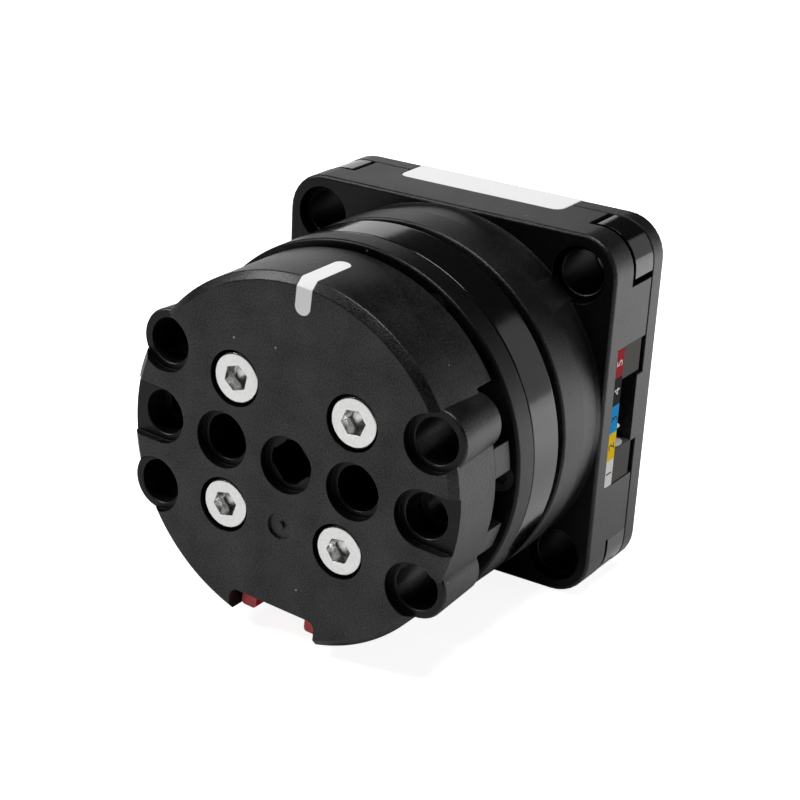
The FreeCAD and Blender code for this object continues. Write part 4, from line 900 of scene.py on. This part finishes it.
@dataclass
class ScrewRing:
    """Sets copies of one piece evenly on a circle with Geometry Nodes.

    Attributes:
        count: number of copies.
        radius: circle they stand on, in mm.
        first: angle of the first one, in degrees from X towards Z.
        seed: seed of the random turn that each one gets.
    """

    count: int
    radius: float
    first: float = 0.0
    seed: int = 0

    def spread(self, name: str, master: Solid, material: bpy.types.Material) -> bpy.types.Object:
        """Return the copies as one plain mesh.

        Args:
            name: name of the finished piece.
            master: the piece to copy, standing on the output axis; it is used up.
            material: material of the finished piece.

        Returns:
            The finished object.
        """
        values = {
            "Piece": master.item,
            "Count": self.count,
            "Radius": self.radius * MM,
            "First angle": math.radians(self.first),
            "Seed": self.seed,
            "Material": material,
        }
        layout = Layout(name, values)
        add, entry = layout.nodes.add, layout.entry
        circle = add("GeometryNodeMeshCircle", {"Vertices": entry["Count"], "Radius": entry["Radius"]}).outputs[0]
        lean = add("CombineXYZ", {0: math.pi / 2}).outputs[0]
        upright = add("GeometryNodeTransform", {"Geometry": circle, "Rotation": lean}).outputs[0]
        turn = add("CombineXYZ", {1: layout.nodes.product(entry["First angle"], -1.0)}).outputs[0]
        placed = add("GeometryNodeTransform", {"Geometry": upright, "Rotation": turn}).outputs[0]
        piece = add("GeometryNodeObjectInfo", {"Object": entry["Piece"]}).outputs["Geometry"]
        limits = {2: 0.0, 3: math.pi / 3, "Seed": entry["Seed"]}
        chance = add("FunctionNodeRandomValue", limits, data_type="FLOAT").outputs[1]
        spin = add("CombineXYZ", {1: chance}).outputs[0]
        inputs = {"Points": placed, "Instance": piece, "Rotation": spin}
        item = layout.bake(add("GeometryNodeInstanceOnPoints", inputs).outputs[0])
        master.discard()
        item.data.set_sharp_from_angle(angle=math.radians(SHARP))
        return item


@dataclass
class DiscScrews(Assembly):
    """The four socket-head screws in the disc."""

    head: float = 2.73
    shank: float = 1.5
    top: float = 0.22
    seat: float = 3.3
    tip: float = 10.85
    hexagon: float = 2.5

    def build(self) -> None:
        """Build one screw and set it round the disc."""
        ring = ScrewRing(count=4, radius=SCREW_CIRCLE, first=45.0 - REST_TURN, seed=3)
        item = ring.spread("disc_screw_set", self.screw(), Finishes.ZINC.material())
        self.hand_over(item, Body.OUTPUT, "screw_steel", "disc_screws")

    def screw(self) -> Solid:
        """Return one screw standing on the output axis."""
        top, seat, shank = self.top, self.seat, self.shank
        profile = [(0, top, 0), (self.head, top, 0.32), (self.head, seat, 0.1)]
        profile += [(shank, seat, 0.1), (shank, self.tip, 0.3), (0, self.tip, 0)]
        solid = Solid.lathe("screw", profile, 72)
        socket = ring_of(0, 0, self.hexagon / math.sqrt(3), 6)
        solid.cut(Solid.prism("hexagon", socket, top - 1, top + 1.6))
        return solid.cut(Solid.rod(0, 0, 1.2, top + 1.5, top + 2.05, 0.2, 48))


@dataclass
class OutputHub(Assembly):
    """The black flange behind the disc, with its driving dogs and bearing neck."""

    flange: float = 14.0
    front: float = 8.0
    rear: float = 11.0
    neck: float = 9.99
    neck_rear: float = 16.0
    dog_reach: float = 19.68

    def build(self) -> None:
        """Build the hub."""
        profile = [(0, self.front, 0), (self.flange, self.front, 0.1), (self.flange, self.rear, 0.1)]
        profile += [(11.0, self.rear, 0), (11.0, 12.0, 0.05), (self.neck, 12.0, 0)]
        profile += [(self.neck, self.neck_rear, 0.1), (0, self.neck_rear, 0)]
        solid = Solid.lathe("hub", profile)
        solid.add(*(self.dog(x, z) for x in (1, -1) for z in (1, -1)))
        solid.add(*Solid.rods(ring_of(0, 0, 8.1, 3), 1.8, 15.9, 19.8))
        cutters = Solid.rods([(0, 0), (PITCH, 0), (-PITCH, 0)], 3.1, 7, 10.0)
        cutters += Solid.rods(four(7.07, 7.07), 1.55, 7, 12.0, 32)
        solid.cut(*cutters).turned(REST_TURN)
        self.put(solid, "hub_with_dogs", Finishes.HUB, Body.OUTPUT, "hub_alloy", "output_hub")

    def dog(self, x_side: int, z_side: int) -> Solid:
        """Return one driving dog, flush with the disc's rim."""
        block = Solid.box((x_side * 11.2, x_side * 21.6), (z_side * 2.95, z_side * 6.2), 7.55, 10.4, 0.25)
        reach = self.dog_reach
        block.edit(Edit.KEEP, [Solid.lathe("trim", [(0, 7, 0), (reach, 7, 0), (reach, 11, 0), (0, 11, 0)], ROUND)])
        return block.cut(Solid.rod(x_side * GRID, z_side * PITCH, 3.45, 6, 12))


@dataclass
class Latch(Assembly):
    """The red slider in the disc's lower notch and the spring that returns it."""

    front: float = 1.75
    rear: float = 4.52
    inner: float = 3.08
    outer: float = 4.9
    low: float = 18.6
    high: float = 13.0
    root: float = 16.15

    def build(self) -> None:
        """Build slider and spring."""
        self.slider()
        self.spring()

    def slider(self) -> None:
        """Build the red slider."""
        left = [(-self.outer, -self.low, 0.4), (-self.inner, -self.low, 0.4), (-self.inner, -self.root, 0.25)]
        right = [(-x, z, radius) for x, z, radius in reversed(left)]
        ends = [(self.outer, -self.high, 0.2), (-self.outer, -self.high, 0.2)]
        solid = Solid.prism("slider", rounded(left + right + ends), self.front, self.rear)
        solid.turned(REST_TURN)
        self.put(solid, "red_release_slider", Finishes.RED, Body.LATCH, "red_latch", "release_latch")

    def spring(self) -> None:
        """Build the coil spring as one wire swept along a helix."""
        values = {"Turns": 5.0, "Radius": 1.1 * MM, "Height": 7.2 * MM, "Wire": 0.18 * MM}
        layout = Layout("latch_return_spring", {**values, "Material": Finishes.SPRING.material()})
        add, entry = layout.nodes.add, layout.entry
        inputs = {"Resolution": 32, "Rotations": entry["Turns"], "Height": entry["Height"]}
        inputs |= {"Start Radius": entry["Radius"], "End Radius": entry["Radius"]}
        helix = add("GeometryNodeCurveSpiral", inputs).outputs[0]
        wire = add("GeometryNodeCurvePrimitiveCircle", {"Resolution": 10, "Radius": entry["Wire"]}).outputs[0]
        inputs = {"Curve": helix, "Profile Curve": wire, "Fill Caps": True}
        carrier = layout.bake(add("GeometryNodeCurveToMesh", inputs).outputs[0])
        turn = Matrix.Rotation(math.radians(REST_TURN), 4, "Y")
        carrier.data.transform(Matrix.Translation(spot(0, 3.2, -12.8)))
        carrier.data.transform(turn)
        self.hand_over(carrier, Body.OUTPUT, "spring_steel", "latch_spring")
        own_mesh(carrier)


@dataclass
class GearboxRings(Assembly):
    """The textured front ring and the glossy ring round the gears."""

    cover_front: float = 11.1
    cover_rear: float = 14.05
    housing_front: float = 14.11
    housing_rear: float = 19.2
    spigot: float = 19.3
    spigot_rear: float = 21.5
    bore: float = 14.8
    hollow: float = 15.2
    lip: float = 12.6
    lip_front: float = 11.6
    race: float = 13.5
    race_front: float = 12.0
    race_rear: float = 16.0
    neck: float = 14.75
    screw_circle: float = 17.9

    def build(self) -> None:
        """Build both rings."""
        profile = [(self.hollow, self.cover_front, 0.1), (BODY_RADIUS, self.cover_front, 0.35)]
        profile += [(BODY_RADIUS, self.cover_rear, 0.12), (self.neck, self.cover_rear, 0)]
        profile += [(self.neck, self.race_rear, 0), (self.race, self.race_rear, 0), (self.race, self.race_front, 0)]
        profile += [(self.lip, self.race_front, 0), (self.lip, self.lip_front, 0.1), (self.hollow, self.lip_front, 0)]
        cover = Solid.lathe("cover", profile, ROUND)
        cover.cut(*Solid.rods(ring_of(0, 0, self.screw_circle, 6), 1.9, 10, 12.3, 40))
        self.put(cover, "front_ring", Finishes.MATT, Body.HOUSING, "black_grained", "gearbox_cover")
        profile = [(self.bore, self.housing_front, 0), (BODY_RADIUS, self.housing_front, 0.16)]
        profile += [(BODY_RADIUS, self.housing_rear, 0.2), (self.spigot, self.housing_rear, 0.05)]
        profile += [(self.spigot, self.spigot_rear, 0.1), (self.bore, self.spigot_rear, 0)]
        ring = Solid.lathe("ring", profile, ROUND)
        self.put(ring, "glossy_ring", Finishes.GLOSS, Body.HOUSING, "black_gloss", "gear_housing")


@dataclass
class BaseHousing(Assembly):
    """The main housing: textured ring, collar, square flange and corner ears."""

    front: float = 20.5
    collar_front: float = 24.9
    collar: float = 20.2
    collar_foot: float = 19.95
    flange: float = 28.86
    line: float = 37.5
    edge: float = 0.4
    ear_rear: float = 32.75
    slot_half: float = 14.6

    def build(self) -> None:
        """Build the housing."""
        solid = self.flange_block()
        solid.add(self.barrel())
        self.carve(solid)
        names = ("black_grained", "base_housing")
        # The flange's front and the corner bores get darker finishes as painted shade.
        faces = {Finishes.MATT: self.on_front, Finishes.BORE: self.in_bore}
        self.put(solid, "base_housing_moulding", Finishes.GRAINED, Body.HOUSING, *names, faces=faces)

    def on_front(self, middle: Vector, normal: Vector) -> bool:
        """Tell whether a face is the flange's front, which gets the darker matt black as painted shade."""
        return normal.y < -0.97 and middle.y > self.flange - 0.2

    def in_bore(self, middle: Vector, normal: Vector) -> bool:
        """Tell whether a face is the wall or floor of a corner pocket or bore, which gets painted shade."""
        reach = math.hypot(abs(middle.x) - GRID, abs(middle.z) - GRID)
        return reach < MOUTH + 0.05 and middle.y > self.flange + 0.05 and not 0.3 < abs(normal.y) < 0.9

    def flange_block(self) -> Solid:
        """Return the square flange with its rounded front edge and the groove at its rear."""
        loops = []
        for step in range(7):
            angle = math.pi / 2 * step / 6
            inset = self.edge * (1 - math.sin(angle))
            loops.append(body_loop(inset, self.flange + self.edge * (1 - math.cos(angle))))
        groove = ((0.0, 0.26), (0.05, 0.2), (0.4, 0.2), (0.4, 0.0))
        return Solid.loft("flange", loops + [body_loop(inset, self.line - ahead) for inset, ahead in groove])

    def barrel(self) -> Solid:
        """Return the round part in front of the flange."""
        flange, foot = self.flange, self.collar_foot
        profile = [(0, self.front, 0), (BODY_RADIUS, self.front, 0.3), (BODY_RADIUS, self.collar_front, 0.12)]
        profile += [(self.collar, self.collar_front, 0.02), (self.collar, self.collar_front + 0.3, 0.05)]
        profile += [(foot, flange - 0.6, 0), (foot + 0.2, flange + 0.1, 0), (foot, flange + 1.2, 0)]
        return Solid.lathe("barrel", profile + [(0, flange + 1.2, 0)], ROUND)

    def carve(self, solid: Solid) -> None:
        """Cut bores, corner pockets, corner notches, connector window and strip slot."""
        ears, rear, floor = four(GRID, GRID), self.line + 1, self.flange + 1.0
        cutters = [
            Solid.rod(0, 0, 19.35, self.front - 1, 21.5, count=192),
            Solid.rod(0, 0, 16.3, self.front - 2, rear, count=192),
            Solid.prism("cavity", square_outline(CAVITY, 1.5), 33.9, rear),
        ]
        for x, z in ears:
            cutters.append(Solid.rod(x, z, MOUTH, self.collar_front - 0.5, floor, count=FINE))
            cutters.append(Solid.rod(x, z, PIN, self.flange - 1, rear, count=FINE))
            cutters.append(Solid.mouth(x, z, PIN, floor, 0.1))
            sides = [(math.copysign(self.slot_half, value), math.copysign(OUTSIDE, value)) for value in (x, z)]
            cutters.append(Solid.box(*sides, self.ear_rear, rear, 0.4))
        cutters.append(Solid.box((16.45, OUTSIDE), (-7.84, 8.16), 32.56, rear))
        cutters.append(Solid.box((11.45, 20), (-4.2, 4.2), 32.8, rear))
        cutters.append(Solid.box((20.25, OUTSIDE), (-7.76, 8.14), 30.9, 33.5))
        half = STRIP_HALF
        outline = rounded([(-half, 34.7, 1.2), (half, 34.7, 1.2), (half, 39, 0), (-half, 39, 0)])
        slot = [[spot(x, depth, z) for x, depth in outline] for z in (CAVITY - 0.2, OUTSIDE)]
        cutters.append(Solid.loft("strip", slot))
        solid.cut(*cutters)
        sleeves = Solid.rods(ears, 3.2, self.ear_rear - 0.2, self.ear_rear + 0.63, FINE)
        bores = Solid.rods(ears, PIN, self.flange, self.line, FINE)
        solid.add(*(sleeve.cut(bore) for sleeve, bore in zip(sleeves, bores)))


@dataclass
class CornerPosts(Assembly):
    """The polished bracket behind the motor, whose corner posts show in the notches."""

    radius: float = 20.3
    corner: float = 4.3
    inner: float = 15.25
    low_inner: float = 14.66
    front: float = 33.42
    rear: float = 37.44

    def build(self) -> None:
        """Build the bracket."""
        plate = Solid.prism("plate", square_outline(18.15, 2.6), 33.9, 35.4)
        posts = four(GRID, GRID)
        for x, z in posts:
            plate.add(self.post(x, z))
        plate.add(Solid.rod(0, 0, 4.6, 24.6, 35.0, count=FINE))
        pads = four(9.2, 15.6) + four(*COVER_SCREW)
        plate.add(*Solid.rods(pads, PAD, 35.2, 36.9, 40))
        cutters = [Solid.box((11.3, OUTSIDE), (-8.15, 8.15), 33, 38)]
        for radius, front, rear in ((2.6, 23, 36), (3.0, 23, 27.1), (3.0, 32.9, 36)):
            cutters.append(Solid.rod(0, 0, radius, front, rear))
        cutters += Solid.rods(posts, 2.5, 30, 40, FINE) + Solid.rods(pads, PAD_BORE, 30, 40, 32)
        plate.cut(*cutters)
        names = ("black_gloss", "motor_bracket")
        # The corner bores get the darker bore finish: painted shade.
        faces = {Finishes.BORE: self.in_bore}
        self.put(plate, "bracket_with_posts", Finishes.GLOSS, Body.HOUSING, *names, faces=faces)

    @staticmethod
    def in_bore(middle: Vector, normal: Vector) -> bool:
        """Tell whether a face is the wall of a corner bore, which gets painted shade."""
        reach = math.hypot(abs(middle.x) - GRID, abs(middle.z) - GRID)
        return reach < 2.52 and abs(normal.y) < 0.3

    def post(self, x: float, z: float) -> Solid:
        """Return one corner post that follows the flange's outline, with the block behind it."""
        side, rise = math.copysign(1, x), math.copysign(1, z)
        end = rise * (self.inner if z > 0 else self.low_inner)
        corners = [(side * self.inner, rise * self.radius, 0.12), (side * self.radius, rise * self.radius, self.corner)]
        corners += [(side * self.radius, end, 0.12), (side * self.inner, end, 0.0)]
        block = Solid.box((side * 12.9, side * 18.2), (rise * 12.9, rise * 18.2), 33.95, self.rear - 0.05)
        sleeve = Solid.rod(x, z, MOUTH, self.front + 0.02, self.rear - 0.02, count=FINE)
        keep = Solid.box((side * 14.63, side * 19.4), (rise * 14.63, rise * 19.4), 30, 40)
        sleeve.edit(Edit.KEEP, [keep])
        return Solid.prism("post", rounded(corners), self.front, self.rear).add(block, sleeve)


@dataclass
class RearCover(Assembly):
    """The rear cover, its tongue beside the connector and its screws."""

    front: float = 37.56
    edge: float = 0.4
    floor: float = 39.1
    seat: float = 39.0

    def build(self) -> None:
        """Build cover and screws."""
        self.cover()
        self.screws()

    def cover(self) -> None:
        """Build the cover."""
        loops = [body_loop(0.05, self.front), body_loop(0.0, self.front + 0.06)]
        for step in range(6):
            angle = math.pi / 2 * step / 5
            depth = LENGTH - self.edge * (1 - math.sin(angle))
            loops.append(body_loop(self.edge * (1 - math.cos(angle)), depth))
        solid = Solid.loft("cover", loops)
        solid.cut(Solid.prism("cavity", square_outline(CAVITY, 2.3), 36, self.floor))
        solid.add(*Solid.rods(four(GRID, GRID), 4.2, self.front, self.floor + 0.2, FINE))
        solid.add(*Solid.rods(four(*COVER_SCREW), PAD, 37.95, self.floor + 0.2, 40))
        solid.add(Solid.box((17.75, BODY_RADIUS), (-3.9, 3.9), 36.3, self.floor + 0.2, 0.15))
        behind = LENGTH + 2
        cutters = [Solid.box((-STRIP_HALF, STRIP_HALF), (CAVITY - 0.2, OUTSIDE), 36, behind)]
        for x, z in four(GRID, GRID):
            cutters.append(Solid.rod(x, z, PIN, 36, behind, count=FINE))
            cutters.append(Solid.rod(x, z, MOUTH, self.seat, behind, count=FINE))
        for x, z in four(*COVER_SCREW):
            cutters.append(Solid.rod(x, z, PAD_BORE, 36, behind, count=32))
            cutters.append(Solid.rod(x, z, 1.8, self.seat, behind, count=48))
        solid.cut(*cutters)
        self.put(solid, "rear_cover_moulding", Finishes.GRAINED, Body.HOUSING, "black_grained", "rear_cover")

    def screws(self) -> None:
        """Build the four socket screws of the rear cover."""
        profile = [(0, 34.1, 0), (1.0, 34.1, 0.15), (1.0, self.seat, 0), (1.75, self.seat, 0)]
        profile += [(1.75, 39.9, 0.2), (0, 39.9, 0)]
        socket = ring_of(0, 0, 1.5 / math.sqrt(3), 6)
        screws = []
        for x, z in four(*COVER_SCREW):
            screw = Solid.lathe("screw", profile, 48).cut(Solid.prism("hexagon", socket, 39.2, 41))
            screw.item.data.transform(Matrix.Translation((x * MM, 0, z * MM)))
            screws.append(screw)
        for other in screws[1:]:
            screws[0].add(other)
        self.put(screws[0], "rear_cover_screws", Finishes.ZINC, Body.HOUSING, "screw_steel", "cover_screws")


@dataclass
class LightStrip(Assembly):
    """The white diffuser let into the top edge."""

    half: float = 10.15
    front: float = 34.75
    low: float = 18.45
    edge: float = 0.08

    def build(self) -> None:
        """Build the diffuser."""
        corners = [(-self.half, self.front, 1.15), (self.half, self.front, 1.15)]
        corners += [(self.half, LENGTH, 0.1), (-self.half, LENGTH, 0.1)]
        outline = rounded(corners)
        loops = []
        for z, inset in ((self.low, 0.0), (BODY_RADIUS - self.edge, 0.0), (BODY_RADIUS, self.edge)):
            narrow = (self.half - inset) / self.half
            loops.append([spot(x * narrow, depth + (inset if depth < 37 else -inset), z) for x, depth in outline])
        strip = Solid.loft("strip", loops)
        self.put(strip, "light_diffuser", Finishes.DIFFUSER, Body.HOUSING, "diffuser_white", "light_strip")


@dataclass
class ConnectorSide(Assembly):
    """Wiring label, grey surround, socket and white key on the right side."""

    label_front: float = 30.92
    socket_front: float = 32.58
    open_top: float = 4.43
    open_low: float = -3.68
    block_rear: float = 36.5
    well_half: float = 3.45
    bounds: tuple[float, ...] = (8.12, 4.95, 1.77, -1.4, -4.6, -7.72)

    def build(self) -> None:
        """Build every piece of the connector side."""
        self.surround()
        self.header()
        self.label()

    def surround(self) -> None:
        """Build the two grey blocks and the plate that joins them, and the white key beside them."""
        front, rear = self.socket_front, self.block_rear
        solid = Solid.box((16.6, 20.3), (self.bounds[-1], self.bounds[0]), front, rear)
        solid.cut(Solid.box((17.6, 22), (self.open_low, self.open_top), front - 1, rear + 1))
        solid.cut(Solid.box((15, 18), (-self.well_half, self.well_half), front - 1, rear - 0.5))
        names = ("surround_grey", "connector_surround")
        self.put(solid, "grey_connector_surround", Finishes.GREY, Body.HOUSING, *names)
        pad = rounded([(17.7, 33.0, 0.5), (20.15, 33.0, 0.9), (20.15, 35.3, 0.9), (17.7, 35.3, 0.5)])
        sides = (self.open_low - 0.02, self.open_low + 0.25)
        key = Solid.loft("key", [[spot(x, depth, z) for x, depth in pad] for z in sides])
        key.add(Solid.rod(20.0, -1.15, 0.24, front, front + 0.85, count=32))
        self.put(key, "white_connector_key", Finishes.DIFFUSER, Body.HOUSING, "light_white")

    def header(self) -> None:
        """Build the socket's header."""
        solid = Solid.box((11.6, 16.55), (-4.05, 4.05), 32.95, 36.9)
        solid.cut(Solid.box((12.8, 18), (-self.well_half, self.well_half), 33.55, 36.3))
        self.put(solid, "connector_socket", Finishes.CONNECTOR, Body.HOUSING, "header_black", "connector_header")

    def label(self) -> None:
        """Build the label with its colour bands and a plain number on each, from the lower end up."""
        front, rear, top, low = self.label_front, self.socket_front, self.bounds[0], self.bounds[-1]
        outline = rounded([(front, low, 0.35), (rear, low, 0.05), (rear, top, 0.05), (front, top, 0.35)])
        sides = (BODY_RADIUS - 0.1, BODY_RADIUS - 0.004)
        film = Solid.loft("film", [[spot(x, depth, z) for depth, z in outline] for x in sides])
        names = ("label_film", "wiring_label")
        self.put(film, "wiring_label_film", Finishes.LABEL, Body.HOUSING, *names, paint=self.bands)
        levels = list(zip(self.bounds, self.bounds[1:]))
        for number, (high, low) in enumerate(reversed(levels), start=1):
            ink = Finishes.INK_WHITE if number >= 4 else Finishes.INK_BLACK
            self.hand_over(self.number(str(number), (high + low) / 2, ink.material()), Body.HOUSING, "label_film")

    def number(self, text: str, middle: float, material: bpy.types.Material) -> bpy.types.Object:
        """Return one flat printed number.

        Args:
            text: the number.
            middle: height of its middle.
            material: its ink.

        Returns:
            The finished object.
        """
        curve = bpy.data.curves.new(f"number_{text}", "FONT")
        curve.body = text
        curve.size = 1.75 * MM
        curve.align_x = curve.align_y = "CENTER"
        curve.extrude = 0.0015 * MM
        curve.resolution_u = 8
        carrier = linked(f"number_{text}", curve)
        data = final_mesh(carrier)
        bpy.data.objects.remove(carrier)
        across, upward, outward = Vector((0, 0, 1)), Vector((0, -1, 0)), Vector((1, 0, 0))
        turn = Matrix((across, upward, outward)).transposed().to_4x4()
        place = spot(BODY_RADIUS - 0.0018, (self.label_front + self.socket_front) / 2, middle)
        data.transform(Matrix.Translation(place) @ turn)
        data.materials.clear()
        data.materials.append(material)
        return linked(f"label_number_{text}", data)

    def bands(self, nodes: Nodes, _: Socket) -> Socket:
        """Paint the five bands of the label, top to bottom."""
        height = nodes.product(nodes.place()[1][2], 1 / MM)
        colour, *shades = ((0.35, 0.02, 0.03), grey(0.012), (0.01, 0.3, 0.68), (0.9, 0.6, 0.01), grey(0.8))
        for level, shade in zip(self.bounds[1:-1], shades):
            colour = nodes.mix(nodes.math("LESS_THAN", height, level), colour, shade)
        return colour


class CarriedOver:
    """Gives every CAD node that stays its procedural finish."""

    NODES = (
        (Finishes.ALLOY, "carrier_plate"),
        (Finishes.ZINC, "carrier_screws bracket_screws"),
        (Finishes.STEEL, "planet_pins rotor_shaft"),
        (Finishes.GEAR, "ring_gear planet_gear_1 planet_gear_2 planet_gear_3 sun_gear"),
        (Finishes.BRONZE, "planet_bush_1 planet_bush_2 planet_bush_3"),
        (Finishes.POLISHED, "output_bearing_outer_race output_bearing_inner_race output_bearing_balls"),
        (Finishes.POLISHED, "rotor_bearing_outer_races rotor_bearing_inner_races rotor_bearing_balls"),
        (Finishes.NYLON, "output_bearing_cage rotor_bearing_cages"),
        (Finishes.PHOSPHATE, "housing_screws rotor_bell"),
        (Finishes.NICKEL, "rotor_magnets encoder_magnet"),
        (Finishes.LAMINATE, "stator_core"),
        (Finishes.COPPER, "stator_windings"),
        (Finishes.BOARD, "control_board"),
        (Finishes.PACKAGE, "encoder_chip"),
        (Finishes.EMITTER, "status_lights"),
        (Finishes.GOLD, "connector_contacts"),
    )

    @classmethod
    def dress(cls) -> None:
        """Set the material of each node that stays."""
        for finish, names in cls.NODES:
            for name in names.split():
                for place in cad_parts[name].material_slots:
                    place.link = "OBJECT"
                    place.material = finish.material()
                LOG.info("%s: %s", name, finish.name)


# --------------------------------------------------------------------------- studio


@dataclass
class Lamp:
    """A soft rectangular light that looks at the part."""

    name: str
    place: Corner
    size: Point
    power: float
    aim: Corner = (0.0, -0.02, 0.0)

    def build(self) -> None:
        """Add the lamp to the scene."""
        data = bpy.data.lights.new(self.name, "AREA")
        data.shape = "RECTANGLE"
        data.size, data.size_y = self.size
        data.energy = self.power
        item = linked(self.name, data)
        item.location = self.place
        item.rotation_euler = (Vector(self.aim) - Vector(self.place)).to_track_quat("-Z", "Y").to_euler()


@dataclass
class Studio:
    """Camera, floor, surround and lamps."""

    back: Corner = (0.4746, -0.7645, 0.4364)
    target: Corner = (-0.001241, -0.020, -0.017045)
    distance: float = 0.227715
    roll: float = 0.051
    lens: float = 92.53
    shift: Point = (0.0285, 0.1837)
    floor_gap: float = 0.00002

    def build(self) -> None:
        """Build the whole studio."""
        self.camera()
        self.floor()
        self.world()
        for lamp in self.lamps():
            lamp.build()
        bpy.context.scene.view_settings.view_transform = "Standard"

    def camera(self) -> None:
        """Set the camera at the viewing angle."""
        back = Vector(self.back).normalized()
        right = (-back).cross(Vector((0, 0, 1))).normalized()
        up = right.cross(-back)
        across = right * math.cos(self.roll) + up * math.sin(self.roll)
        upward = up * math.cos(self.roll) - right * math.sin(self.roll)
        data = bpy.data.cameras.new("camera")
        data.lens = self.lens
        data.sensor_width = 36.0
        data.shift_x, data.shift_y = self.shift
        data.clip_start = 0.01
        data.clip_end = 20.0
        item = linked("camera", data)
        turn = Matrix((across, upward, back)).transposed().to_4x4()
        item.matrix_world = Matrix.Translation(Vector(self.target) + back * self.distance) @ turn
        bpy.context.scene.camera = item

    def floor(self) -> None:
        """Lay the pale floor under the lowest point."""
        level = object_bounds()[0][2] - self.floor_gap
        mesh = bmesh.new()
        bmesh.ops.create_grid(mesh, x_segments=1, y_segments=1, size=2.0)
        data = bpy.data.meshes.new("studio_floor")
        mesh.to_mesh(data)
        mesh.free()
        data.transform(Matrix.Translation((0, 0, level)))
        item = linked("studio_floor", data)
        data.materials.append(self.floor_material())
        item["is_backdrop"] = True

    @staticmethod
    def floor_material() -> bpy.types.Material:
        """Return the white floor, which keeps a faint shadow and shines in gloss behind and beside the part."""
        item = bpy.data.materials.new("studio_white")
        nodes = fresh_nodes(item)
        path = nodes.add("LightPath").outputs
        where, (x, y, _) = nodes.place()
        plain = nodes.add("BsdfDiffuse", {"Color": (0.8, 0.8, 0.8, 1.0)})
        behind = nodes.ramp(y, 0.03, 0.20, 0.0, 0.6)
        beside = nodes.product(nodes.ramp(x, 0.01, 0.07, 0.0, 1.05), nodes.ramp(y, -0.022, -0.006, 0.0, 1.0))
        far = nodes.add("VectorMath", {0: where}, operation="LENGTH").outputs["Value"]
        seen = nodes.product(path["Is Camera Ray"], nodes.ramp(far, 0.1, 0.3, 0.9, 1.0))
        mirrored = nodes.product(path["Is Glossy Ray"], nodes.math("ADD", behind, beside))
        glow = nodes.add("Emission", {"Color": (1, 1, 1, 1), "Strength": nodes.math("ADD", seen, mirrored)})
        both = nodes.add("AddShader", {0: plain.outputs[0], 1: glow.outputs[0]})
        nodes.add("OutputMaterial", {"Surface": both.outputs[0]})
        return item

    @staticmethod
    def world() -> None:
        """Set a white surround for the eye and a soft grey one for light."""
        world = bpy.data.worlds.new("studio_surround")
        bpy.context.scene.world = world
        nodes = fresh_nodes(world)
        strength = nodes.ramp(nodes.add("LightPath").outputs["Is Camera Ray"], 0.0, 1.0, 0.02, 1.0)
        glow = nodes.add("Background", {"Color": (1, 1, 1, 1), "Strength": strength})
        nodes.add("OutputWorld", {"Surface": glow.outputs[0]})

    @staticmethod
    def lamps() -> list[Lamp]:
        """Return the soft lamps."""
        return [
            Lamp("overhead_softbox", (0.06, -0.02, 0.60), (0.35, 0.3), 3.2),
            Lamp("key_softbox", (-0.38, -0.23, 0.40), (0.2, 0.2), 2.0),
            Lamp("rear_left_panel", (-0.32, 0.47, 0.12), (0.22, 0.24), 0.18),
            Lamp("rear_card", (0.31, 0.45, 0.13), (0.30, 0.29), 0.18),
            Lamp("right_card", (0.55, 0.22, 0.12), (0.2, 0.25), 0.35),
        ]


def main() -> None:
    """Build the sub-assemblies in order, dress what stays and set up the studio."""
    logging.basicConfig(level=logging.INFO, format="%(name)s: %(message)s")
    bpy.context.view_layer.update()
    for part in (
        OutputDisc(),
        DiscScrews(),
        OutputHub(),
        Latch(),
        GearboxRings(),
        BaseHousing(),
        CornerPosts(),
        RearCover(),
        LightStrip(),
        ConnectorSide(),
    ):
        part.build()
    CarriedOver.dress()
    Studio().build()


if __name__ == "__main__":
    main()
